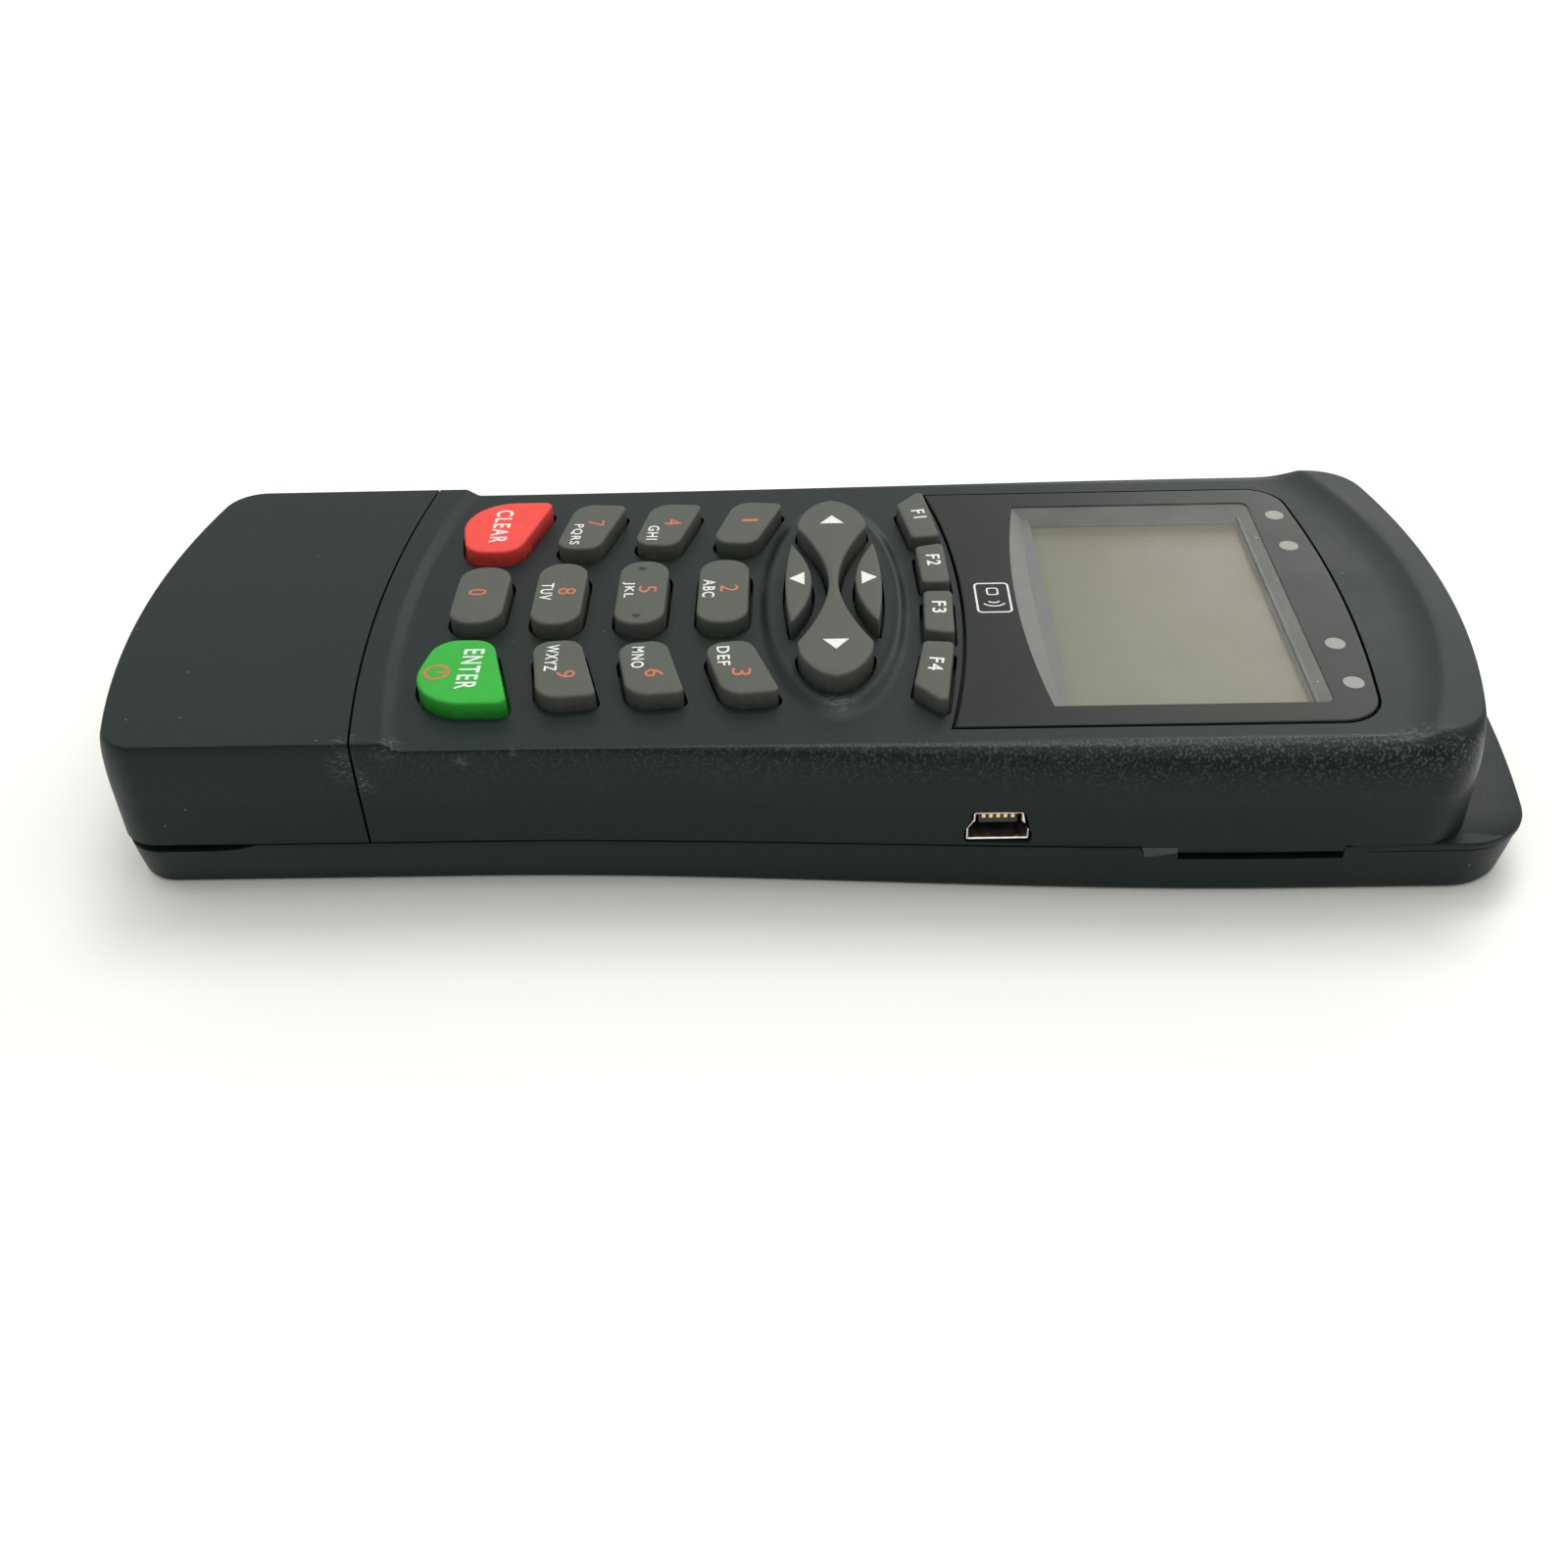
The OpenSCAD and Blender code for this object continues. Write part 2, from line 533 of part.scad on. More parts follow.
// ---- boards and connectors ----
module main_board() color(board_green) {
    difference() {
        slab(rounded([[-26.3, -49], [26.3, -49], [26.3, 67], [-26.3, 67]], [2, 2, 3, 3]),
            board_z[0], board_z[1]);
        for (p = casing_screw_at) post(p, 3.2, 0, 30);
        for (p = board_screw_at) post(p, 1.1, 0, 30);
    }
}
module board_chips() color([0.08, 0.08, 0.09]) {
    box([-20, -8], [-47, -35], [11.5, board_z[0]]);
    box([9, 19], [-46, -38], [11.8, board_z[0]]);
    box([6, 13], [44, 51], [11.9, board_z[0]]);
    box([-15, -7], [42, 47], [11.9, board_z[0]]);
}
module board_screws() color(metal) {
    for (p = board_screw_at) {
        post(p, 1.7, board_z[0] - 1.2, board_z[0]);
        post(p, 0.9, board_z[0] - 0.2, 17);
    }
}
module buzzer() color([0.1, 0.1, 0.1]) {
    difference() {
        box([-27.6, -19.4], [1, 9], [9.9, board_z[0]]);
        post([-23.5, 5], 0.9, 9, 11);
    }
}
module backup_cell() color(metal) {
    post([0, -40], 6.25, 10.4, 12.4);
}
module backup_cell_holder() color([0.9, 0.9, 0.85]) {
    difference() {
        box([-7.6, 7.6], [-47.2, -32.8], [10, board_z[0]]);
        post([0, -40], 6.35, 10.3, 12.5);
        box([-4, 4], [-55, -40], [10.3, 12.5]);
        post([0, -40], 3.5, 9, 11);
    }
}
// Outline of a mini USB mouth, wide at the bottom, seen from outside.
function usb_pts(g) = let (y0 = usb_y[0] - g, y1 = usb_y[1] + g, z0 = usb_z[0] - g, z1 = usb_z[1] + g)
    [[y0, z0], [y1, z0], [y1, z0 + 1.5], [y1 - 0.75, z0 + 2.3],
        [y1 - 0.75, z1], [y0 + 0.75, z1], [y0 + 0.75, z0 + 2.3], [y0, z0 + 1.5]];
module usb_prism(g, x0, x1) {
    along(usb_pts(g), x0, x1);
}
module usb_shell() color(metal) {
    difference() {
        usb_prism(0, 24.4, half_w(usb_y[0]) - 0.1);
        usb_prism(-0.4, 25, 40);
    }
    for (y = [usb_y[0] + 1.2, usb_y[1] - 2]) box([25, 26], [y, y + 0.8], [usb_z[1] - 0.1, board_z[0]]);
}
module usb_insert() color([0.05, 0.05, 0.05]) {
    usb_prism(-0.45, 25.05, 26.5);
    box([26.4, half_w(usb_y[0]) - 1.2], [usb_y[0] + 1.6, usb_y[1] - 1.6], [usb_z[0] + 2.35, usb_z[0] + 3.3]);
}
// A card reader is two plates with the card between them, and windows for the contacts in the lower one.
module contact_windows(y, z) {
    for (k = [0:3]) for (row = [-3.8, 3.8])
        box([-9.5 + 2.54 * k - 0.8, -9.5 + 2.54 * k + 0.8], [y + row - 2.2, y + row + 2.2], z);
}
module contact_springs(y, z0, z1) {
    for (k = [0:3]) for (row = [-3.8, 3.8]) {
        translate([-9.5 + 2.54 * k, y + row, 0]) along([[-1.9, z0], [1.9, z0], [1.9, z0 + 0.2], [0.9, z1],
            [0.4, z1], [-0.9, z0 + 0.2], [-1.9, z0 + 0.2]], -0.45, 0.45);
    }
}
module front_reader_base() color([0.12, 0.12, 0.13]) {
    difference() {
        box([-20, 20], [-58, -27.2], [4.8, slot_z0]);
        contact_windows(-44, [4.7, 6.4]);
    }
}
module front_reader_cover() color([0.12, 0.12, 0.13]) {
    box([-20, 20], [-58, -27.2], [seam_z - 0.1, 9.2]);
    box([-20, 20], [-28.4, -27.2], [slot_z0, seam_z]);
}
module front_card_contacts() color([0.85, 0.7, 0.3]) contact_springs(-44, 4.85, 6.8);
module front_reader_board() color(board_green) {
    box([-24, 24], [-60, -27.2], [3.2, 4.8]);
}
module front_reader_flex() color([0.75, 0.45, 0.15]) {
    box([-6, 6], [-27.2, -26.4], [4.6, 4.8]);
    box([-6, 6], [-26.6, -26.4], [4.7, board_z[0]]);
}
module rear_reader_base() color([0.12, 0.12, 0.13]) {
    difference() {
        union() {
            box([-20, 20], [34, 60], [7, rear_slot_z[0]]);
            box([-20, 6], [34, 60], [5, 7.1]);
        }
        contact_windows(46, [4.9, 7.8]);
    }
}
module rear_reader_cover() color([0.12, 0.12, 0.13]) {
    box([-20, 20], [34, 60], [rear_slot_z[1], 10.4]);
    box([-20, 20], [34, 35.2], [rear_slot_z[0], rear_slot_z[1] + 0.1]);
}
module rear_card_contacts() color([0.85, 0.7, 0.3]) contact_springs(46, 5.05, 8.2);
module rear_reader_board() color(board_green) {
    box([-26, 26], [33, 62], [3.4, 5.0]);
}
module rear_reader_flex() color([0.75, 0.45, 0.15]) {
    box([-6, 6], [32.2, 33], [4.8, 5.0]);
    box([-6, 6], [32.2, 32.4], [4.9, board_z[0]]);
}
module module_card_socket() color(metal) {
    difference() {
        box([9, 29.6], [42, 59.8], [5.02, 6.9]);
        box([10, 40], [42.8, 59], [5.6, 6.6]);
    }
}

// ---- power ----
module batteries() color([0.2, 0.3, 0.5]) {
    for (k = [-1:1]) translate([k * cell_pitch, cell_y, cell_z]) rotate([-90, 0, 0]) {
        cylinder(r = cell_r, h = cell_len - 1);
        cylinder(r = 1.9, h = cell_len);
    }
}
// Conical helix swept as a thin wire, wide at the wall and narrow at the cell.
spring_turns = 4;
spring_wire_r = 0.25;
spring_steps = 14;
spring_sides = 6;
function spring_at(t) = let (a = 360 * spring_turns * t, r = 3.4 - 1.2 * t)
    [r * cos(a), r * sin(a), 0.3 + t * 2.8];
module spring() {
    count = spring_turns * spring_steps;
    points = [for (i = [0:count]) let (
            a = 360 * i / spring_steps,
            c = spring_at(i / count)
        ) for (k = [0:spring_sides - 1]) let (b = 360 * k / spring_sides)
            c + spring_wire_r * [cos(b) * cos(a), cos(b) * sin(a), sin(b)]];
    polyhedron(points, concat(
        [[for (k = [0:spring_sides - 1]) k]],
        [for (i = [0:count - 1]) for (k = [0:spring_sides - 1]) for (t = [0, 1]) let (
                a = i * spring_sides, b = a + spring_sides, k2 = (k + 1) % spring_sides
            ) t == 0 ? [a + k, b + k2, a + k2] : [a + k, b + k, b + k2]],
        [[for (k = [spring_sides - 1:-1:0]) count * spring_sides + k]]), convexity = 10);
}
module battery_springs() color(metal) {
    for (k = [-1:1]) translate([k * cell_pitch, bay_y[0] + 0.2, cell_z]) rotate([-90, 0, 0]) spring();
}
module battery_plates() color(metal) {
    for (k = [-1:1]) translate([k * cell_pitch, 0, 0])
        box([-4, 4], [cell_y + cell_len + 0.1, cell_y + cell_len + 0.6], [3.2, 11]);
}

top_casing();
end_cap();
lower_casing();
battery_door();
display_lens();
lens_adhesive_film();
lcd_frame();
lcd_panel();
lcd_backlight();
display_flex();
led_light_pipes();
status_leds();
for (k = keys) pressed_key(k);
key_left_right();
nav_key(1);  // key_up
nav_key(-1);  // key_down
keypad_mat();
key_contact_pads();
main_board();
board_chips();
board_screws();
buzzer();
backup_cell();
backup_cell_holder();
usb_shell();
usb_insert();
front_reader_base();
front_reader_cover();
front_card_contacts();
front_reader_board();
front_reader_flex();
rear_reader_base();
rear_reader_cover();
rear_card_contacts();
rear_reader_board();
rear_reader_flex();
module_card_socket();
batteries();
battery_springs();
battery_plates();
casing_screws();
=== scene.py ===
"""A handheld card payment terminal, face up on a pale table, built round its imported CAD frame.

Sizes are in millimetres until a mesh is made. Plan shapes are closed rows of points that run
anticlockwise, and a solid is a stack of such rows, each at its own height.
"""
import json
import math

import bmesh
import bpy
import numpy as np
from mathutils import Euler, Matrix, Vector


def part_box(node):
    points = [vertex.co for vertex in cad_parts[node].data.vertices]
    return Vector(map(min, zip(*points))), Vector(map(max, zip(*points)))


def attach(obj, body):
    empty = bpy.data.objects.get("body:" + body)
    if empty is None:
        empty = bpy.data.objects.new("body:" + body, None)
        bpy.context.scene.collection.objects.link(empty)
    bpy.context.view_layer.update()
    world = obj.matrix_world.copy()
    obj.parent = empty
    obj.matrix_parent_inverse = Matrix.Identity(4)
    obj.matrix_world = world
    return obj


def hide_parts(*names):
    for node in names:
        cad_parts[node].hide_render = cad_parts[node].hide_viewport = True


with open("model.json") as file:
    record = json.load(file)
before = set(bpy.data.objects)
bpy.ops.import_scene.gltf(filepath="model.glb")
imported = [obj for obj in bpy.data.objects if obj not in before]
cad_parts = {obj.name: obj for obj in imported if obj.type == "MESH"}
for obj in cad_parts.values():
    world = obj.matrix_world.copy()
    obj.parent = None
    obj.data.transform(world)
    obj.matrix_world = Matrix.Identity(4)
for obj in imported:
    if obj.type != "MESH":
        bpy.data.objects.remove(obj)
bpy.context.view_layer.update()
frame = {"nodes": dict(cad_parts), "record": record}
MM = 0.001

bl_info = {
    "name": "Card terminal",
    "version": (1, 0, 0),
    "blender": (4, 5, 0),
    "location": "3D View > Sidebar > Terminal",
    "description": "Builds a handheld card payment terminal round its CAD frame",
    "category": "Add Mesh",
}


def low(node, axis):
    """Lowest place of a CAD node along one axis, in millimetres."""
    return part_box(node)[0]["xyz".index(axis)] / MM


def high(node, axis):
    """Highest place of a CAD node along one axis, in millimetres."""
    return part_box(node)[1]["xyz".index(axis)] / MM


# Places read from the frame.
BASE_Y = low("end_cap", "y")
LIP_Y = high("top_casing", "y")
SEAM_Z = low("end_cap", "z")
RIDGE_Z = high("end_cap", "z")
HEAD_HALF_W = high("top_casing", "x")
LENS_TOP_Z = high("display_lens", "z")
LENS_HALF_W = high("display_lens", "x")
LENS_HEAD_Y = high("display_lens", "y")
KEY_TOP_Z = high("key_5", "z")
NAV_TOP_Z = high("key_up", "z")
FILM_Z = low("display_lens", "z")

# Shapes of the casing, as in the CAD source.
GRIP_HALF_W = 30.2
CREASE_X = 29.5
CREASE_HEAD_X = 30.0
BASE_LEAN, HEAD_LEAN = 1.0, 0.8
SHOULDER_Z = 13.6
DECK_Z = 20.4
WALL = 1.8
HEAD_Y = LIP_Y - 5.4
UPPER_END = (100.0, 6.5)
LIP_END = (160.0, 8.0)
NOSE_END = (105.0, 5.0)
TAPER_Y = (-40.0, 55.0)
CAP_SEAM_Y, CAP_SEAM_R = -53.8, 185.0
BASE_RECESS_Y, BASE_RECESS_R = -51.0, 130.0
HEAD_RECESS_Y, HEAD_RECESS_R = 75.0, 71.0
LIP_FROM_Y, LIP_Z = 63.0, 6.7
NAV_Y = 2.95
PLATEAU = (23.3, 8.5)
CORNER_STEPS, END_STEPS, SIDE_STEPS = 16, 32, 262
CROWN_INSET = 3.2
CROWN_ANGLES = np.radians([12, 24, 38, 52, 66, 79, 90])
UNDER_HALF_W, UNDER_ENDS = (28.1, 32.3), (-84.1, 83.5)
DISPLAY_VIEW_X, DISPLAY_VIEW_Y = (-21.8, 22.6), (29.9, 57.7)
TOP_ROWS = 74


# ---- plan shapes ----
def smooth(t):
    """3 t^2 - 2 t^3 between 0 and 1, held at 0 and 1 outside."""
    t = np.clip(t, 0, 1)
    return t * t * (3 - 2 * t)


def blend(w0, w1, y):
    """Half width at y: w0 along the grip, w1 along the head, and a smooth step between."""
    return w0 + (w1 - w0) * smooth((y - TAPER_Y[0]) / (TAPER_Y[1] - TAPER_Y[0]))


def end_curve(tip, ends, w, inset, way):
    """Right half of one end: an arc of the corner radius, then half of the wide end arc, both moved in by
    inset."""
    r, c = ends[0], max(ends[1], inset + 0.5)
    cx, hub = w - c, tip - way * r
    cy = hub + way * math.sqrt((r - c) ** 2 - cx**2)
    sweep = math.atan2(abs(cy - hub), cx)
    a = np.linspace(0, sweep, CORNER_STEPS + 1)
    b = np.linspace(sweep, math.pi / 2, END_STEPS + 1)[1:]
    corner = np.column_stack([cx + (c - inset) * np.cos(a), cy + way * (c - inset) * np.sin(a)])
    wide = np.column_stack([(r - inset) * np.cos(b), hub + way * (r - inset) * np.sin(b)])
    return np.vstack([corner, wide])


def stations(y0, y1):
    """Places along the side, close together where the top has its slopes and its oval plateau."""
    y = np.linspace(y0, y1, 1500)
    close = 1 / 1.2 + (abs(y + 50.5) < 6.5) / 0.4 + (abs(y - NAV_Y) < 11) / 0.4 + (y > 62) / 0.6
    total = np.cumsum(close)
    return np.interp(np.linspace(total[0], total[-1], SIDE_STEPS + 2)[1:-1], total, y)


def body_outline(w0, w1, y0, y1, ends, inset=0.0):
    """Whole plan of the body: both ends joined by sides whose half width is blend(w0, w1, y), mirrored in
    X."""
    nose = end_curve(y0, NOSE_END, w0, inset, -1)[::-1]
    head = end_curve(y1, ends, w1, inset, 1)
    y = stations(nose[-1, 1], head[0, 1])
    side = np.column_stack([blend(w0, w1, y) - inset, y])
    right = np.vstack([nose, side, head])
    return np.vstack([right, right[-2:0:-1] * [-1, 1]])


def upper_ring(z, inset=0.0):
    """Plan of the upper body at height z. From the crease down, the side comes out by (1 - (1 - t)^2.2)^(1
    / 2.2)."""
    t = min((DECK_Z - min(z, DECK_Z)) / (DECK_Z - SHOULDER_Z), 1)
    s = (1 - (1 - t) ** 2.2) ** (1 / 2.2)
    w0 = CREASE_X + (GRIP_HALF_W - CREASE_X) * s
    w1 = CREASE_HEAD_X + (HEAD_HALF_W - CREASE_HEAD_X) * s
    return body_outline(w0, w1, BASE_Y + BASE_LEAN * (1 - s), HEAD_Y - HEAD_LEAN * (1 - s), UPPER_END,
        inset)


def lip_ring(inset=0.0):
    """Plan of the lip and of the lower casing's rim."""
    return body_outline(GRIP_HALF_W, HEAD_HALF_W, BASE_Y, LIP_Y, LIP_END, inset)


def grown(pts, g):
    """A polygon with every edge moved outwards by g."""
    step = np.roll(pts, -1, 0) - pts
    n = np.column_stack([step[:, 1], -step[:, 0]]) / np.linalg.norm(step, axis=1)[:, None]
    a, b = np.roll(n, 1, 0), n
    return pts + g * (a + b) / (1 + (a * b).sum(1))[:, None]


def rounded(pts, radii, steps=10):
    """A polygon with an arc of its own radius in every corner."""
    pts, radii = np.asarray(pts, float), np.asarray(radii, float)
    u = np.roll(pts, 1, 0) - pts
    v = np.roll(pts, -1, 0) - pts
    u /= np.linalg.norm(u, axis=1)[:, None]
    v /= np.linalg.norm(v, axis=1)[:, None]
    corner = np.arccos((u * v).sum(1))
    mid = u + v
    centre = pts + mid / np.linalg.norm(mid, axis=1)[:, None] * (radii / np.sin(corner / 2))[:, None]
    first = pts + u * (radii / np.tan(corner / 2))[:, None] - centre
    start = np.arctan2(first[:, 1], first[:, 0])
    a = start[:, None] + (math.pi - corner)[:, None] * np.linspace(0, 1, steps + 1)
    ring = centre[:, None] + radii[:, None, None] * np.stack([np.cos(a), np.sin(a)], -1)
    return ring.reshape(-1, 2)


def lens_outline(inset=0.0):
    """Plan of the display lens: concave arc at the base end, long straight sides, rounded head corners,
    flat head arc."""
    w, base_r = LENS_HALF_W - inset, 122.0
    head = end_curve(LENS_HEAD_Y, (170.0, 5.0), LENS_HALF_W, inset, 1)
    x = np.linspace(-w, w, 61)
    base = np.column_stack([x, 18.95 + inset - base_r + np.sqrt(base_r**2 - x**2)])
    right = np.vstack([base, head])
    return np.vstack([right, head[-2::-1] * [-1, 1]])


def rocker_outline(g=0.0, steps=48):
    """Hourglass: half height 0.6 + 3.9 (x / 13.5)^1.8 out to the lobe, then a rounded point at the tip."""
    tip, lobe = 20.7, 13.5
    x = np.linspace(tip, -tip, 2 * steps + 1)
    a = np.abs(x)
    out = 4.5 * np.clip(1 - (np.clip(a - lobe, 0, None) / (tip - lobe)) ** 2, 0, 1) ** 0.62
    h = np.where(a < lobe, 0.6 + 3.9 * (a / lobe) ** 1.8, out) + np.where(a < tip - 1e-6, g, 0)
    upper = np.column_stack([x * (tip + g) / tip, h])
    return np.vstack([upper, upper[-2:0:-1] * [1, -1]]) + [0, NAV_Y]


def nav_outline(way, g=0.0, steps=20):
    """Lens between two arcs: flat 5.98 - 0.0085 x^2 outside, 2.7 + 0.029 x^2 inside. way is 1 for up, -1
    for down."""
    w = 9.1 + g
    x = np.linspace(w, -w, 2 * steps + 1)
    outer = np.column_stack([x, NAV_Y + way * (5.98 + g - 0.0085 * x**2)])
    inner = np.column_stack([-x, NAV_Y + way * (2.7 - g + 0.029 * x**2)])
    ring = np.vstack([outer, inner])
    return ring if way > 0 else ring * [-1, 1]


def mid_key(half, y0, y1):
    return np.array([[-half, y0], [half, y0], [half, y1], [-half, y1]], float)


def flip(pts):
    return np.array([[-x, y] for x, y in pts[::-1]], float)


ENTER = np.array([[10.25, -44.6], [23.55, -47.1], [23.5, -34.5], [10.4, -37.9]])
NINE = np.array([[11, -33.2], [22.85, -31.3], [22.2, -24.45], [10.6, -27.5]])
SIX = np.array([[11.75, -23.05], [22.55, -20.95], [22, -14.35], [11, -17.25]])
THREE = np.array([[12, -12.85], [22.75, -9.9], [22, -3.4], [11.2, -7.15]])
F3 = np.array([[1, 14], [9.75, 13.6], [10.75, 17.2], [1, 17.55]])
F4 = np.array([[12.1, 13.35], [21, 11.75], [25.2, 15.3], [12.5, 17]])
ENTER_R, SIDE_R, MID_R, F_R = [3.4, 6.2, 1, 2.8], [2.2, 3, 0.9, 2.2], [2.9] * 4, [0.7] * 4
# Key: corners, corner radii, plunger centre, plunger radius.
KEYS = {
    "key_1": (flip(THREE), SIDE_R[::-1], (-17, -8.2), 2.2),
    "key_2": (mid_key(7.4, -13.9, -7.6), MID_R, (0, -10.75), 2.2),
    "key_3": (THREE, SIDE_R, (17, -8.2), 2.2),
    "key_4": (flip(SIX), SIDE_R[::-1], (-17, -18.8), 2.2),
    "key_5": (mid_key(7.4, -24, -17.8), MID_R, (0, -20.9), 2.2),
    "key_6": (SIX, SIDE_R, (17, -18.8), 2.2),
    "key_7": (flip(NINE), SIDE_R[::-1], (-17, -29), 2.2),
    "key_8": (mid_key(7.2, -34.3, -28.1), MID_R, (0, -31.2), 2.2),
    "key_9": (NINE, SIDE_R, (17, -29), 2.2),
    "key_0": (mid_key(6.6, -44.3, -37.8), MID_R, (0, -41), 2.2),
    "key_clear": (flip(ENTER), ENTER_R[::-1], (-17, -40.8), 2.2),
    "key_enter": (ENTER, ENTER_R, (17, -40.8), 2.2),
    "key_f1": (flip(F4), F_R, (-17.4, 14.7), 1.3),
    "key_f2": (flip(F3), F_R, (-5.6, 15.6), 1.3),
    "key_f3": (F3, F_R, (5.6, 15.6), 1.3),
    "key_f4": (F4, F_R, (17.4, 14.7), 1.3),
}


def key_outline(name, g=0.0):
    pts, radii = KEYS[name][:2]
    return rounded(grown(pts, g), np.asarray(radii) + g)


def usb_outline(g=0.0):
    """Mouth of the socket in Y and Z: a keystone that is wide at the bottom, with soft corners."""
    y0, y1, z0, z1 = 17.3 - g, 24.5 + g, 8.3 - g, 12.3 + g
    pts = [[y0, z0], [y1, z0], [y1, z0 + 1.6], [y1 - 0.75, z0 + 2.5], [y1 - 0.75, z1], [y0 + 0.75, z1],
           [y0 + 0.75, z0 + 2.5], [y0, z0 + 1.6]]
    return rounded(pts, [max(0.35 + g, 0.1)] * 8, 5)


# ---- mesh making ----
def mesh_object(name, verts, faces):
    """A mesh from arrays of points in millimetres and of faces."""
    mesh = bpy.data.meshes.new(name)
    mesh.from_pydata((np.asarray(verts, float) * MM).tolist(), [], faces)
    mesh.validate()
    ob = bpy.data.objects.new(name, mesh)
    bpy.context.scene.collection.objects.link(ob)
    return ob


def tidy(ob, merge=0.0005, outward=True):
    """Merges points that lie together, which closes seams and poles, and turns faces outwards."""
    bm = bmesh.new()
    bm.from_mesh(ob.data)
    bmesh.ops.remove_doubles(bm, verts=bm.verts, dist=merge * MM)
    bmesh.ops.dissolve_degenerate(bm, edges=bm.edges, dist=merge * MM * 0.5)
    if outward:
        bmesh.ops.recalc_face_normals(bm, faces=bm.faces)
    bm.to_mesh(ob.data)
    bm.free()
    return ob


def grid_faces(m, n):
    """Quads of a grid of m rows and n columns whose columns close into a loop."""
    i = np.arange(m - 1)[:, None] * n
    j = np.arange(n)[None, :]
    k = (j + 1) % n
    return np.stack([i + j, i + k, i + n + k, i + n + j], -1).reshape(-1, 4).tolist()


def stack(name, rows):
    """A closed surface through rows of points. The first and last rows are poles or lines that close on
    themselves."""
    rows = np.asarray(rows, float)
    ob = mesh_object(name, rows.reshape(-1, 3), grid_faces(*rows.shape[:2]))
    return tidy(ob)


def at(ring, z):
    """A plan row lifted to height z."""
    ring = np.asarray(ring, float)
    return np.column_stack([ring, np.broadcast_to(z, len(ring))])


def pole(ring, z, centre=None):
    """A row with every point at the middle of the ring."""
    c = np.asarray(ring, float).mean(0) if centre is None else np.asarray(centre, float)
    return at(np.repeat(c[None], len(ring), 0), z)


def spine(ring, y0, y1):
    """A row with every point on the centre line, as near to its own y as y0 and y1 allow."""
    return np.column_stack([np.zeros(len(ring)), np.clip(ring[:, 1], y0, y1)])


def prism(name, ring, z0, z1):
    """A straight solid on a plan row, for cutting."""
    ring = np.asarray(ring, float)
    n = len(ring)
    verts = np.vstack([at(ring, z0), at(ring, z1)])
    j = np.arange(n)
    k = (j + 1) % n
    faces = np.stack([j, k, n + k, n + j], -1).tolist() + [j[::-1].tolist(), (j + n).tolist()]
    return mesh_object(name, verts, faces)


def turned_prism(name, ring_yz, x0, x1):
    """The same with its row in Y and Z, run along X."""
    ob = prism(name, ring_yz, x0, x1)
    co = np.zeros(len(ob.data.vertices) * 3)
    ob.data.vertices.foreach_get("co", co)
    ob.data.vertices.foreach_set("co", co.reshape(-1, 3)[:, [2, 0, 1]].ravel())
    return ob


def rect(x0, x1, y0, y1):
    return np.array([[x0, y0], [x1, y0], [x1, y1], [x0, y1]], float)


def circle(x, y, r, n=48):
    a = np.arange(n) * 2 * math.pi / n
    return np.column_stack([x + r * np.cos(a), y + r * np.sin(a)])


def joined(name, obs):
    """Several meshes as one object."""
    verts, faces, start = [], [], 0
    for ob in obs:
        co = np.zeros(len(ob.data.vertices) * 3)
        ob.data.vertices.foreach_get("co", co)
        verts.append(co.reshape(-1, 3) / MM)
        faces += [[v + start for v in p.vertices] for p in ob.data.polygons]
        start += len(ob.data.vertices)
        bpy.data.objects.remove(ob)
    return mesh_object(name, np.vstack(verts), faces)


def settle(ob):
    """Applies every modifier."""
    dg = bpy.context.evaluated_depsgraph_get()
    mesh = bpy.data.meshes.new_from_object(ob.evaluated_get(dg))
    ob.modifiers.clear()
    ob.data = mesh
    return ob


def cut(ob, *cutters, operation="DIFFERENCE"):
    """Takes cutters that don't overlap each other out of ob, one after the other."""
    for c in cutters:
        mod = ob.modifiers.new("cut", "BOOLEAN")
        mod.operation = operation
        mod.solver = "MANIFOLD"
        mod.object = c
        before = len(ob.data.polygons)
        settle(ob)
        if not len(ob.data.polygons) or before == 0:
            raise RuntimeError(f"the cut of {ob.name} left nothing")
        bpy.data.objects.remove(c)
    return ob


def shade(ob, angle=32.0):
    """Smooth faces with sharp edges where they turn by more than the angle."""
    mesh = ob.data
    mesh.polygons.foreach_set("use_smooth", np.ones(len(mesh.polygons), bool))
    mesh.set_sharp_from_angle(angle=math.radians(angle))
    return ob


def place(ob, body, slot, *replaced, material=None, angle=32.0):
    """Shades a finished piece, gives it its material and sets it on its CAD body."""
    ob.data.name = ob.name
    shade(ob, angle)
    ob.data.materials.clear()
    ob.data.materials.append(material or MATERIALS[slot])
    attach(ob, body)
    if replaced:
        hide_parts(*replaced)
    return ob


# ---- materials ----
MATERIALS = {}


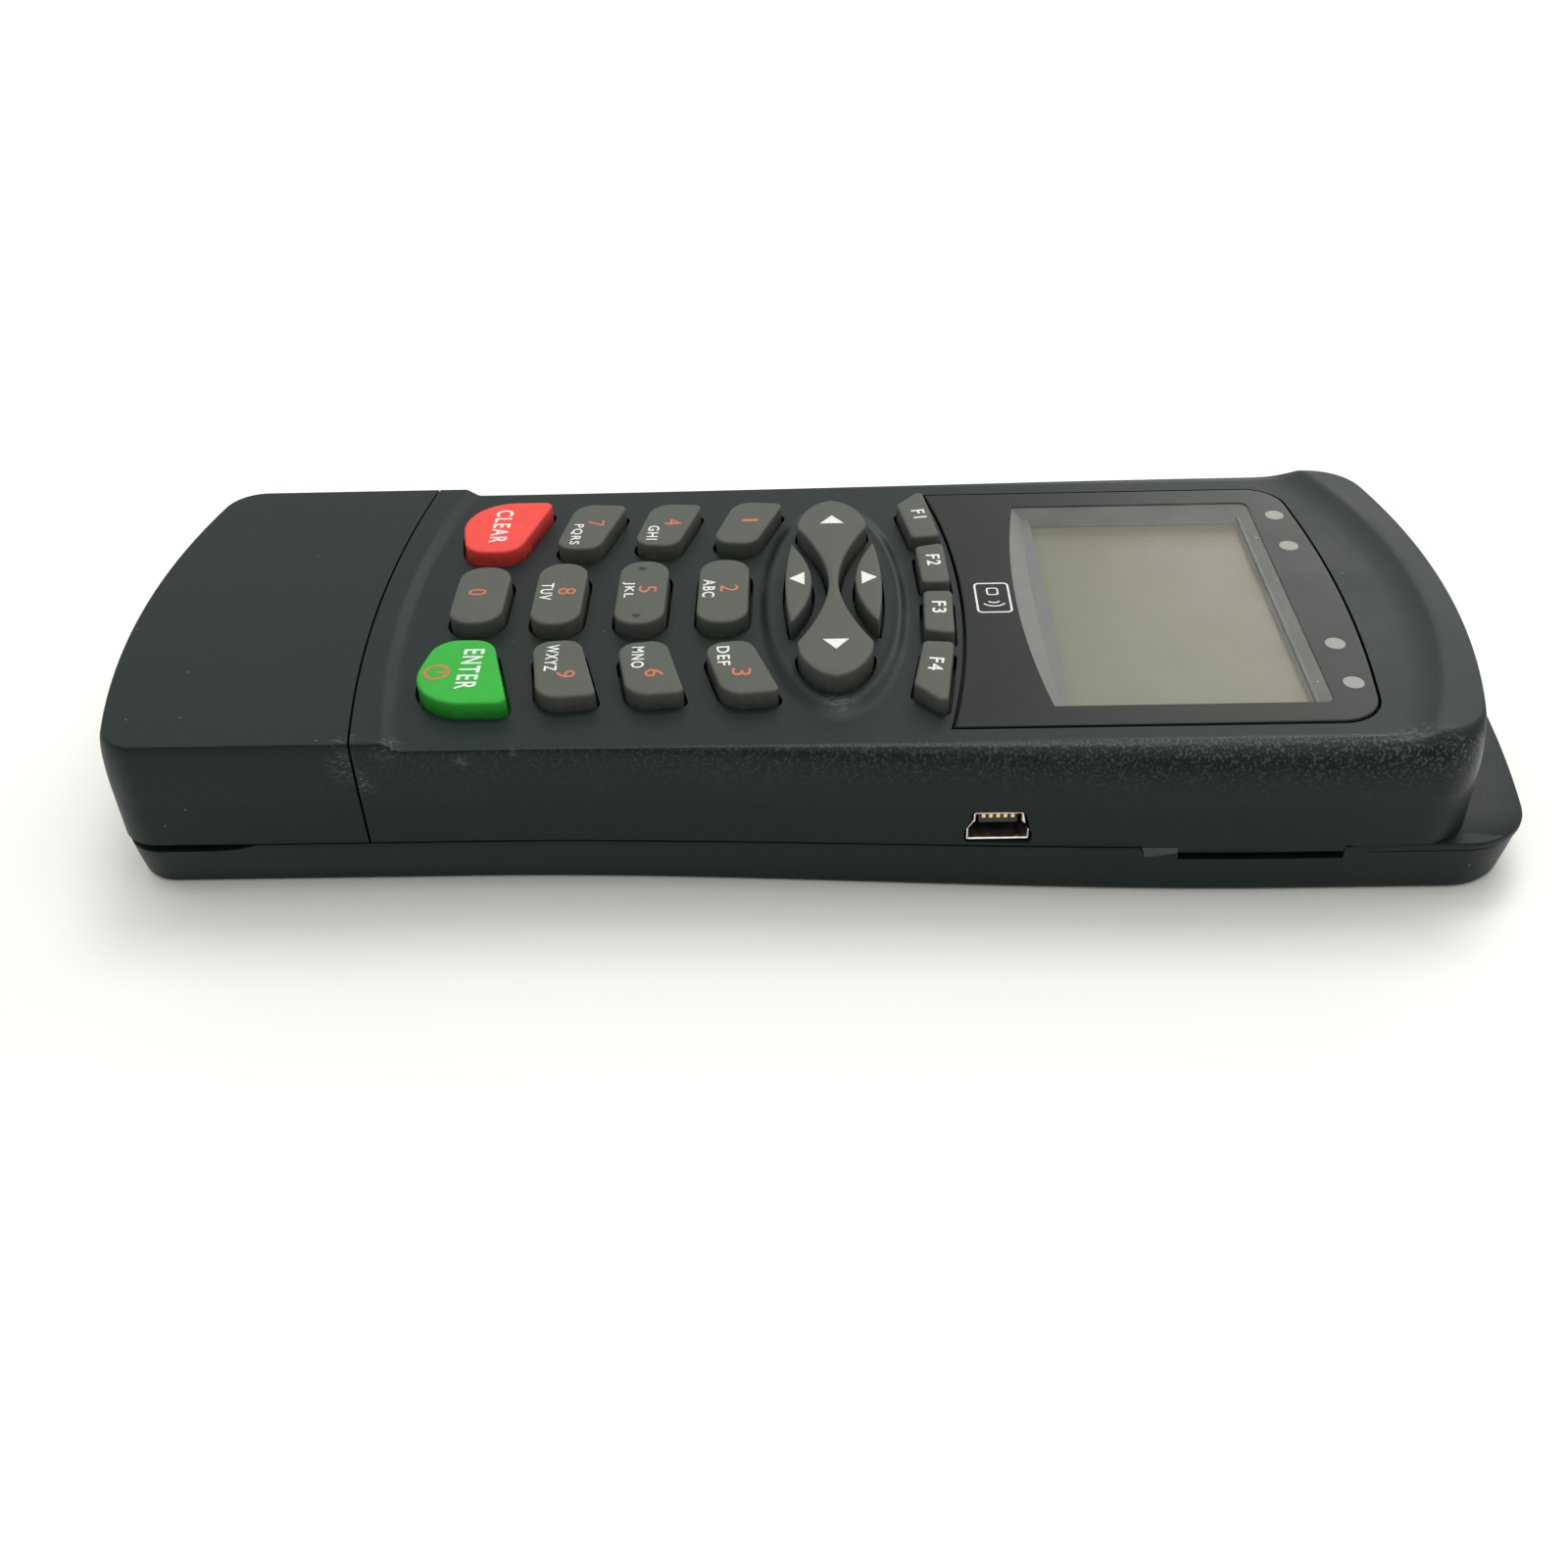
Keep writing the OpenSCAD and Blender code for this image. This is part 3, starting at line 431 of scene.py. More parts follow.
class Nodes:
    """Short ways to make shader nodes in one material."""

    def __init__(self, name):
        old = bpy.data.materials.get(name)
        if old:
            bpy.data.materials.remove(old)
        self.mat = bpy.data.materials.new(name)
        self.mat.use_nodes = True
        self.tree = self.mat.node_tree
        self.shader = self.tree.nodes["Principled BSDF"]
        self.coord = self.tree.nodes.new("ShaderNodeTexCoord").outputs["Object"]

    def link(self, a, b):
        self.tree.links.new(a, b)

    def value(self, socket, v):
        if isinstance(v, bpy.types.NodeSocket):
            self.link(v, socket)
        else:
            socket.default_value = v

    def math(self, op, a, b=0.0, c=0.0, clamp=False):
        n = self.tree.nodes.new("ShaderNodeMath")
        n.operation, n.use_clamp = op, clamp
        for s, v in zip(n.inputs, (a, b, c)):
            self.value(s, v)
        return n.outputs[0]

    def noise(self, size_mm, detail=3.0, rough=0.55, stretch=None):
        """Noise whose main lumps are about size_mm across."""
        n = self.tree.nodes.new("ShaderNodeTexNoise")
        n.inputs["Scale"].default_value = 1 / (size_mm * MM)
        n.inputs["Detail"].default_value = detail
        n.inputs["Roughness"].default_value = rough
        src = self.coord
        if stretch:
            m = self.tree.nodes.new("ShaderNodeMapping")
            m.inputs["Scale"].default_value = stretch
            self.link(src, m.inputs["Vector"])
            src = m.outputs[0]
        self.link(src, n.inputs["Vector"])
        return n.outputs["Fac"]

    def cells(self, size_mm, feature="F1"):
        n = self.tree.nodes.new("ShaderNodeTexVoronoi")
        n.feature = feature
        n.inputs["Scale"].default_value = 1 / (size_mm * MM)
        self.link(self.coord, n.inputs["Vector"])
        return n.outputs["Distance"]

    def ramp(self, v, low0, high0, low1=0.0, high1=1.0, soft=False):
        """Maps low0..high0 to low1..high1 and holds the ends."""
        n = self.tree.nodes.new("ShaderNodeMapRange")
        n.interpolation_type = "SMOOTHSTEP" if soft else "LINEAR"
        for s, x in zip(("Value", "From Min", "From Max", "To Min", "To Max"),
            (v, low0, high0, low1, high1)):
            self.value(n.inputs[s], x)
        return n.outputs[0]

    def mix(self, f, a, b):
        """Colour a where f is 0 and colour b where f is 1."""
        n = self.tree.nodes.new("ShaderNodeMix")
        n.data_type = "RGBA"
        self.value(n.inputs[0], f)
        for s, v in ((n.inputs[6], a), (n.inputs[7], b)):
            self.value(s, v if isinstance(v, bpy.types.NodeSocket) else (*v, 1.0))
        return n.outputs[2]

    def xyz(self):
        n = self.tree.nodes.new("ShaderNodeSeparateXYZ")
        self.link(self.coord, n.inputs[0])
        return n.outputs

    def near(self, x, y, z, reach):
        """1 at a place in millimetres, falling to 0 at the reach."""
        n = self.tree.nodes.new("ShaderNodeVectorMath")
        n.operation = "DISTANCE"
        self.link(self.coord, n.inputs[0])
        n.inputs[1].default_value = (x * MM, y * MM, z * MM)
        return self.ramp(n.outputs["Value"], 0.0, reach * MM, 1.0, 0.0, soft=True)

    def bump(self, height, depth_mm, over=None):
        n = self.tree.nodes.new("ShaderNodeBump")
        n.inputs["Distance"].default_value = depth_mm * MM
        n.inputs["Strength"].default_value = 1.0
        self.link(height, n.inputs["Height"])
        if over:
            self.link(over, n.inputs["Normal"])
        return n.outputs[0]

    def finish(self, colour, rough, normal=None, **fixed):
        self.value(self.shader.inputs["Base Color"], colour)
        self.value(self.shader.inputs["Roughness"], rough)
        if normal:
            self.link(normal, self.shader.inputs["Normal"])
        for k, v in fixed.items():
            self.shader.inputs[k.replace("_", " ").title().replace("Ior", "IOR")].default_value = v
        return self.mat


def shaded_pair(c, k):
    """A colour and the same made lighter or darker by k."""
    return tuple(c), tuple(min(v * k, 1) for v in c)


def casing_material(name, colour, grain, shoulder_grain, glints, worn_and_lit_places):
    """Charcoal moulding: fine grain all over, coarser grain on the shoulders with painted glints, dust, and
    lighter scratched patches on the edges, partly wear and partly painted highlights."""
    n = Nodes(name)
    x, y, z = n.xyz()
    side = n.math("MULTIPLY", n.ramp(z, 13.2 * MM, 14.6 * MM),
        n.ramp(z, (DECK_Z - 0.05) * MM, (DECK_Z + 0.4) * MM, 1, 0.25))
    out = n.ramp(n.math("ABSOLUTE", x), 29.2 * MM, 29.8 * MM)
    band = n.math("MULTIPLY", side, out)
    tone = n.noise(9.0, 4, 0.6)
    speck = n.noise(0.5, 2, 0.5)
    base = n.mix(n.ramp(tone, 0.35, 0.65), *shaded_pair(colour, 1.22))
    base = n.mix(n.math("MULTIPLY", n.ramp(speck, 0.55, 0.75), 0.35), base, tuple(v * 1.9 for v in colour))
    dust = n.math("LESS_THAN", n.cells(3.6), 0.035)
    gate = n.ramp(n.noise(14.0, 2), 0.53, 0.57)
    base = n.mix(n.math("MULTIPLY", n.math("MULTIPLY", dust, gate), 0.4), base, (0.3, 0.31, 0.3))
    scratch = n.ramp(n.noise(0.35, 3, 0.7, (1, 0.35, 1)), 0.5, 0.62)
    # Lighter scratched patches round the listed places: partly wear, and partly painted highlights on lit
    # edges and corners.
    wear = None
    for place_at in worn_and_lit_places:
        w = n.near(*place_at)
        wear = w if wear is None else n.math("MAXIMUM", wear, w)
    if wear is not None:
        base = n.mix(n.math("MULTIPLY", n.math("MULTIPLY", wear, scratch), 0.6, clamp=True), base,
            (0.13, 0.138, 0.138))
    fine = n.bump(n.noise(0.16, 2, 0.5), grain)
    lump = n.noise(0.34, 2.0, 0.5)
    normal = n.bump(n.math("MULTIPLY", lump, band), shoulder_grain, fine)
    # Painted glints: the grain lumps on the shoulders get a lighter colour, stronger higher up and towards the
    # display end.
    glint = n.math("MULTIPLY", n.ramp(lump, 0.53, 0.62), n.math("MULTIPLY", band, glints))
    glint = n.math("MULTIPLY", glint, n.ramp(z, 15.6 * MM, 19.6 * MM, 0.06, 1.0))
    glint = n.math("MULTIPLY", glint, n.ramp(y, -30 * MM, 60 * MM, 0.3, 1.0))
    base = n.mix(glint, base, (0.08, 0.086, 0.078))
    rough = n.math("ADD", n.ramp(tone, 0.3, 0.7, 0.42, 0.5), n.math("MULTIPLY", band, -0.16))
    return n.finish(base, rough, normal, specular_ior_level=0.2)


def rubber_material(name, colour, side_shade_colour=(0.035, 0.037, 0.033), top_z=KEY_TOP_Z):
    """Matte silicone: even on top, with painted shade down the sides that darkens towards their foot in
    blotches, and fine lint.
    """
    n = Nodes(name)
    x, y, z = n.xyz()
    tone = n.noise(4.0, 4, 0.6)
    base = n.mix(n.ramp(tone, 0.3, 0.7), *shaded_pair(colour, 1.14))
    lint = n.ramp(n.noise(0.22, 2, 0.5), 0.62, 0.78)
    base = n.mix(n.math("MULTIPLY", lint, 0.22), base, tuple(min(v * 1.8 + 0.04, 1) for v in colour))
    # Painted shade: from 0.35 mm to 2.4 mm below the top the sides go over, in blotches, to a darker copy of
    # the key's colour.
    side_shade = n.math("MULTIPLY", n.ramp(z, (top_z - 2.4) * MM, (top_z - 0.35) * MM, 1, 0),
                   n.ramp(n.noise(1.1, 4, 0.65), 0.3, 0.65, 0.25, 0.85))
    base = n.mix(side_shade, base, side_shade_colour)
    normal = n.bump(n.noise(0.3, 3, 0.6), 0.012)
    return n.finish(base, n.ramp(tone, 0.3, 0.7, 0.55, 0.68), normal, specular_ior_level=0.2)


def plain_material(name, colour, rough=(0.4, 0.55), size=2.0, vary=1.25, bump=0.01, grain=0.4, **fixed):
    """Small-part finish: a colour that drifts a little, fine grain, and roughness that drifts with it."""
    n = Nodes(name)
    tone = n.noise(size, 4, 0.6)
    base = n.mix(n.ramp(tone, 0.3, 0.7), *shaded_pair(colour, vary))
    return n.finish(base, n.ramp(tone, 0.3, 0.7, *rough), n.bump(n.noise(grain, 3, 0.6), bump), **fixed)


def ink_material(name, colour, wear=0.35):
    """Printed ink, thin in places."""
    n = Nodes(name)
    thin = n.ramp(n.noise(0.5, 3, 0.6), 0.5, 0.7)
    base = n.mix(n.math("MULTIPLY", thin, wear), colour, tuple(v * 0.55 for v in colour))
    return n.finish(base, n.ramp(n.noise(1.5), 0.3, 0.7, 0.5, 0.65), n.bump(n.noise(0.3), 0.004))


def board_material(name):
    """Solder mask with darker copper areas under it."""
    n = Nodes(name)
    tracks = n.ramp(n.noise(1.6, 1, 0.3, (1, 4, 1)), 0.48, 0.52)
    base = n.mix(tracks, (0.012, 0.11, 0.045), (0.02, 0.17, 0.075))
    return n.finish(base, n.ramp(n.noise(3.0), 0.3, 0.7, 0.3, 0.4), n.bump(tracks, 0.02))


def lcd_material(name):
    """Reflective display: olive grey with faint rows of dots and a slow drift to warm at one end."""
    n = Nodes(name)
    x, y, z = n.xyz()
    drift = n.ramp(n.math("ADD", y, n.math("MULTIPLY", x, -0.5)), 20 * MM, 70 * MM)
    base = n.mix(drift, (0.152, 0.16, 0.086), (0.175, 0.152, 0.09))
    fine = n.ramp(n.noise(0.3, 2), 0.4, 0.6)
    base = n.mix(n.math("MULTIPLY", fine, 0.1), base, (0.185, 0.185, 0.11))
    return n.finish(base, n.ramp(n.noise(6.0), 0.3, 0.7, 0.3, 0.38), n.bump(n.noise(0.3), 0.002))


def lens_material(name):
    """Clear hard-coated sheet: mostly see-through, with a faint grey veil that is partly haze and partly
    painted reflection, and fine dust.
    """
    n = Nodes(name)
    haze_and_reflection = n.noise(5.0, 4, 0.6)
    dust = n.math("LESS_THAN", n.cells(2.6), 0.05)
    base = n.mix(dust, (0.30, 0.31, 0.32), (0.7, 0.7, 0.68))
    # The grey veil, 5 to 8.5 % opaque, is partly haze and partly painted reflection.
    alpha = n.math("ADD", n.ramp(haze_and_reflection, 0.3, 0.7, 0.05, 0.085), n.math("MULTIPLY", dust, 0.35))
    n.link(alpha, n.shader.inputs["Alpha"])
    return n.finish(base, n.ramp(haze_and_reflection, 0.3, 0.7, 0.16, 0.22), n.bump(n.noise(0.3), 0.0015))


def make_materials(colours):
    """Every finish, one for each slot of the record, and a few that only the looks need."""
    made = {
        # The last list of each casing finish gives places of lighter scratched patches, partly wear and partly
        # painted highlights.
        "casing_plastic": casing_material("casing_plastic", colours.casing, 0.01, 0.075, 0.75, [
            (29.2, -47.2, 20.6, 2.4), (28.2, -51.8, 21.0, 1.6), (30.3, -51.4, 16.5, 3.0),
                (22.6, 3.4, 21.1, 2.8),
            (30.4, -39.0, 19.0, 1.4), (29.6, 66.5, 20.5, 2.6), (30.0, -33.0, 20.3, 1.0),
            (31.0, 70.4, 20.4, 2.0)]),
        "cap_plastic": casing_material("cap_plastic", tuple(v * 1.02 for v in colours.casing), 0.005, 0.008,
        0.0, [
            (30.3, -52.0, 18.5, 3.2), (29.0, -52.6, 21.0, 1.5)]),
        "lower_plastic": casing_material("lower_plastic", tuple(v * 1.1 for v in colours.casing), 0.008,
        0.01, 0.0, [
            (31.0, 39.3, 6.9, 2.6), (30.5, -81.0, 4.0, 2.0)]),
        # Painted reflection: the lighter grey of the card slot's sloped ramp stands for the light it reflects.
        "ramp_sheen_plastic": plain_material("ramp_sheen_plastic", (0.03, 0.034, 0.033), (0.5, 0.6), size=0.8, vary=1.6,
        bump=0.02),
        "key_rubber": rubber_material("key_rubber", colours.keys),
        "nav_rubber": rubber_material("nav_rubber", colours.keys, top_z=NAV_TOP_Z),
        "red_rubber": rubber_material("red_rubber", colours.clear_key, (0.16, 0.012, 0.012)),
        "green_rubber": rubber_material("green_rubber", colours.enter_key, (0.012, 0.11, 0.012)),
        "black_plastic": plain_material("black_plastic", (0.02, 0.02, 0.022)),
        "flex_film": plain_material("flex_film", (0.42, 0.2, 0.04), (0.25, 0.35), bump=0.004),
        "circuit_board": board_material("circuit_board"),
        "gold_contact": plain_material("gold_contact", (0.8, 0.58, 0.25), (0.2, 0.32), metallic=1.0),
        "steel": plain_material("steel", (0.58, 0.57, 0.55), (0.25, 0.4), metallic=1.0),
        "plated_steel": plain_material("plated_steel", (0.82, 0.79, 0.74), (0.16, 0.28), size=1.2,
        metallic=1.0),
        "chip_package": plain_material("chip_package", (0.015, 0.015, 0.017)),
        "ivory_plastic": plain_material("ivory_plastic", (0.7, 0.66, 0.55)),
        "cell_sleeve": plain_material("cell_sleeve", (0.03, 0.08, 0.22), (0.2, 0.3), bump=0.003),
        "mat_rubber": plain_material("mat_rubber", (0.03, 0.03, 0.031), (0.55, 0.7)),
        "black_film": plain_material("black_film", colours.film, (0.3, 0.36), size=6.0, vary=1.12,
        bump=0.002),
        "bezel_metal": plain_material("bezel_metal", (0.115, 0.12, 0.115), (0.42, 0.55), size=5.0,
        bump=0.004),
        "bevel_plastic": plain_material("bevel_plastic", (0.165, 0.172, 0.16), (0.55, 0.65), size=5.0,
        bump=0.002),
        "lcd_glass": lcd_material("lcd_glass"),
        "diffuser": plain_material("diffuser", (0.75, 0.76, 0.74), (0.4, 0.5)),
        "frosted_plastic": plain_material("frosted_plastic", (0.225, 0.235, 0.21), (0.35, 0.5), bump=0.003,
        vary=1.12),
        "lens_print": plain_material("lens_print", colours.film, (0.3, 0.37), size=8.0, vary=1.15,
        bump=0.0008,
                                     specular_ior_level=0.22),
        "led_package": plain_material("led_package", (0.8, 0.78, 0.5), (0.2, 0.3)),
        "lens": lens_material("lens"),
        "white_ink": ink_material("white_ink", (0.74, 0.75, 0.73), 0.25),
        "orange_ink": ink_material("orange_ink", colours.digits, 0.3),
        "grey_ink": ink_material("grey_ink", (0.42, 0.43, 0.43), 0.3),
    }
    MATERIALS.update(made)


# ---- settings ----
class TerminalSizes(bpy.types.PropertyGroup):
    key_edge: bpy.props.FloatProperty(
        name="Key edge radius", description="Rounding along the top edge of each key", default=0.34 * MM,
        min=0.2 * MM, max=0.9 * MM, precision=5, unit="LENGTH")
    key_dome: bpy.props.FloatProperty(
        name="Key dome", description="How far the middle of a key top stands above its edge",
            default=0.06 * MM,
        min=0.0, max=0.3 * MM, precision=5, unit="LENGTH")
    seam_gap: bpy.props.FloatProperty(
        name="Cap seam", description="Width of the groove between the end cap and the upper casing",
        default=0.28 * MM, min=0.1 * MM, max=0.5 * MM, precision=5, unit="LENGTH")
    print_height: bpy.props.FloatProperty(
        name="Print height", description="Thickness of the printed legends", default=0.03 * MM,
        min=0.01 * MM, max=0.1 * MM, precision=5, unit="LENGTH")


class TerminalColours(bpy.types.PropertyGroup):
    casing: bpy.props.FloatVectorProperty(
        name="Casing", description="Charcoal of the mouldings", subtype="COLOR",
            default=(0.0062, 0.0128, 0.0120))
    film: bpy.props.FloatVectorProperty(
        name="Lens border", description="Print behind the lens", subtype="COLOR",
            default=(0.0038, 0.0066, 0.0064))
    keys: bpy.props.FloatVectorProperty(
        name="Keys", description="Grey silicone of the keys", subtype="COLOR",
            default=(0.082, 0.091, 0.079))
    clear_key: bpy.props.FloatVectorProperty(
        name="Clear key", description="Red silicone", subtype="COLOR", default=(0.74, 0.066, 0.052))
    enter_key: bpy.props.FloatVectorProperty(
        name="Enter key", description="Green silicone", subtype="COLOR", default=(0.03, 0.36, 0.042))
    digits: bpy.props.FloatVectorProperty(
        name="Digits", description="Orange ink of the digits", subtype="COLOR", default=(0.56, 0.14, 0.06))


# ---- the casing ----
def deck_height(x, y):
    """Top of the sunken deck: flat, with a short slope up to the ridge at the base end, a long hollow one
    at the display
    end that rises as t^1.6, and an oval plateau round the navigation keys with a low rim. Both slopes are
    softened at
    their foot by (t + sqrt(t^2 + k^2)) / 2."""
    rise = RIDGE_Z - DECK_Z
    base = (np.hypot(x, y - BASE_RECESS_Y - BASE_RECESS_R) - BASE_RECESS_R + 1.5) / 1.5
    head = (np.hypot(x, y - HEAD_RECESS_Y + HEAD_RECESS_R) - HEAD_RECESS_R + 4.6) / 4.6
    head = np.where(head > 0, np.maximum(head, 0) ** 1.6, head)
    t = np.maximum(base, head)
    z = DECK_Z + rise * ((t + np.sqrt(t * t + 0.02)) / 2 - 0.012)
    e = np.hypot(x / PLATEAU[0], (y - NAV_Y) / PLATEAU[1])
    swell = 0.6 * smooth((1.1 - e) / 0.16) + 0.1 * smooth(1 - abs(e - 0.95) / 0.09)
    return z + swell


def upper_shell(name):
    """The hollow upper body in one piece, end cap included: inner ceiling, inner wall, rim, outer wall,
    shoulder,
    quarter-ellipse crown, and rows that close on the centre line and are lowered to the deck. Where the
    top stands at
    the ridge, the shoulder is raised by u^2 of the rise, so that side and top meet without a valley."""
    inside = [(z, upper_ring(z, WALL)) for z in (15.8, SHOULDER_Z, SEAM_Z)]
    edge = 0.1
    ceiling = upper_ring(DECK_Z - WALL, WALL + 0.4)
    rows = [at(spine(ceiling, -56, 50), DECK_Z - WALL), at(ceiling, DECK_Z - WALL)]
    rows += [at(r, z) for z, r in inside]
    rows += [at(upper_ring(z, edge if z == SEAM_Z else 0.0), z) for z in (SEAM_Z, SEAM_Z + edge, 9.0, 11.0,
        12.6)]
    rows += [at(upper_ring(z), z) for z in DECK_Z - (DECK_Z - SHOULDER_Z) * np.linspace(1, 0, 15) ** 1.8]
    rise = RIDGE_Z - DECK_Z
    for a in CROWN_ANGLES:
        rows.append(at(upper_ring(RIDGE_Z, CROWN_INSET * (1 - math.cos(a))), DECK_Z + rise * math.sin(a)))
    crown, shoulder_from = len(CROWN_ANGLES), 10
    for k in range(shoulder_from, len(rows)):
        part = np.clip((deck_height(rows[k][:, 0], rows[k][:, 1]) - DECK_Z) / rise, 0, 1)
        up = min((rows[k][0, 2] - SHOULDER_Z) / (DECK_Z - SHOULDER_Z), 1.0)
        full = rows[k][:, 2] + rise * up**2 if k < len(rows) - crown else np.full(len(part), RIDGE_Z)
        rows[k] = np.column_stack([rows[k][:, :2], rows[k][:, 2] * (1 - part) + full * part])
    last = rows[-1][:, :2]
    middle = spine(last, -56, 50)
    for t in np.linspace(0, 1, TOP_ROWS)[1:]:
        rows.append(at(last * (1 - t) + middle * t, RIDGE_Z))
    rows = np.array(rows)
    top = rows[-(TOP_ROWS + crown):]
    limit = deck_height(top[..., 0], top[..., 1])
    k = 0.12
    h = np.clip(0.5 + 0.5 * (top[..., 2] - limit) / k, 0, 1)
    top[..., 2] = top[..., 2] * (1 - h) + limit * h - k * h * (1 - h)
    rows[-(TOP_ROWS + crown):] = top
    return stack(name, rows)


def seam_region(gap, way):
    """Everything on one side of the cap seam, which is an arc in plan. way is 1 for the display side."""
    x = np.linspace(-45, 45, 91)
    arc = np.column_stack([x, CAP_SEAM_Y + CAP_SEAM_R - np.sqrt(CAP_SEAM_R**2 - x**2) + way * gap])
    far = [[45, 120.0], [-45, 120.0]] if way > 0 else [[45, -120.0], [-45, -120.0]]
    ring = np.vstack([arc, far])
    return ring if way > 0 else ring[::-1]


class TERMINAL_OT_upper(bpy.types.Operator):
    """Upper casing with its deck, ridges and apertures, and the end cap"""
    bl_idname = "terminal.upper"
    bl_label = "Upper casing and cap"

    def execute(self, context):
        gap = context.scene.terminal_sizes.seam_gap / MM / 2
        cap = upper_shell("end_cap_shell")
        cut(cap, prism("c", seam_region(-gap, 1), 0, 30))
        place(cap, "casing", "casing_plastic", "end_cap", material=MATERIALS["cap_plastic"])
        top = upper_shell("upper_casing_shell")
        cut(top, prism("c", seam_region(-gap, -1), 0, 30))
        holes = [prism("h", key_outline(k, 0.42), 17, 25) for k in KEYS]
        holes += [prism("h", nav_outline(w, 0.35), 17, 25) for w in (1, -1)] + [prism("h",
            rocker_outline(0.35), 17, 25)]
        cut(top, *holes)
        cut(top, prism("h", lens_outline(-0.3), FILM_Z - 0.2, 25))
        cut(top, prism("h", rect(-25, 25, 24.6, 60.6), 17, 25))
        cut(top, turned_prism("h", usb_outline(0.22), 20, 40))
        cut(top, prism("h", rect(-27.5, 27.5, 60, 100), 7.7, 8.9))
        place(top, "casing", "casing_plastic", "top_casing")
        outer, inner = lip_ring(), upper_ring(SEAM_Z, WALL)
        keep = outer[:, 1] > LIP_FROM_Y
        order = np.argsort(np.arctan2(outer[keep][:, 0], outer[keep][:, 1] - 40))
        path, back = outer[keep][order], inner[keep][order]
        side = (path - back) / np.linalg.norm(path - back, axis=1)[:, None]
        z0, z1, r = LIP_Z, SEAM_Z + 0.05, 0.28
        cols = [at(back, z0), at(path - side * r, z0), at(path - side * r * 0.3, z0 + r * 0.3),
            at(path, z0 + r),
                at(path, z1 - r), at(path - side * r * 0.3, z1 - r * 0.3), at(path - side * r, z1),
                at(back, z1)]
        rows = np.array(cols).transpose(1, 0, 2)
        ends = [np.repeat(rows[0].mean(0)[None], 8, 0)[None], rows,
            np.repeat(rows[-1].mean(0)[None], 8, 0)[None]]
        lip = stack("card_lip", np.concatenate(ends))
        place(lip, "casing", "casing_plastic")
        # The ramp gets a lighter grey as a painted reflection off its slope.
        for name, y0, y1, foot0, foot1, out, finish in (
                ("slot_tab", 41.2, 60.1, 6.7, 6.7, 0.0, "casing_plastic"),
                    ("slot_ramp", 37.7, 41.3, 5.95, 6.55, 0.04, "ramp_sheen_plastic")):
            y = np.linspace(y0, y1, 24)
            w = blend(GRIP_HALF_W, HEAD_HALF_W, y) + out - 0.04
            foot, top = np.linspace(foot0, foot1, 24), np.full(24, SEAM_Z + (0.1 if out == 0 else -0.05))
            y_top = y if out == 0 else y - np.linspace(0.45, 0, 24)
            cols = [np.column_stack(c) for c in ((w - 1.6, y, foot), (w - 0.15, y, foot),
                (w, y, foot + 0.12),
                                                 (w, y_top, top), (w - 1.6, y_top, top))]
            rows = np.array(cols).transpose(1, 0, 2)
            caps = [np.repeat(rows[k].mean(0)[None], 5, 0)[None] for k in (0, -1)]
            tab = stack(name, np.concatenate([caps[0], rows, caps[1]]))
            place(tab, "casing", "casing_plastic", material=MATERIALS[finish])
        return {"FINISHED"}


def lower_shell(name):
    """The hollow lower body: straight sides that lean out by (1 - v) P + v Q between the plans at 0.9 mm
    and at the rim,
    a quarter-round bottom edge, a flat underside and the same again inside."""
    def under(inset, z):
        return body_outline(*UNDER_HALF_W, *UNDER_ENDS, LIP_END, inset)

    rim_z = SEAM_Z - 0.32
    q_out, q_in = lip_ring(0.15), lip_ring(WALL + 0.15)
    p_out, p_in = under(0, 0), under(WALL, 0)
    rows = [at(spine(p_out, -56, 50), 0.0)]
    for a in np.radians([0, 22, 45, 68, 90]):
        rows.append(at(under(0.9 * (1 - math.sin(a)), 0), 0.9 * (1 - math.cos(a))))
    for v in (*np.linspace(0, 1, 9)[1:-1], 0.965):
        s = v + 0.06 * math.sin(math.pi * v)
        rows.append(at(p_out * (1 - s) + q_out * s, 0.9 + (rim_z - 0.9) * v))
    rows.append(at(lip_ring(0.25), rim_z))
    rows += [at(q_in, rim_z), at(p_in, 1.6), at(spine(p_in, -56, 50), 1.6)]
    return stack(name, rows)


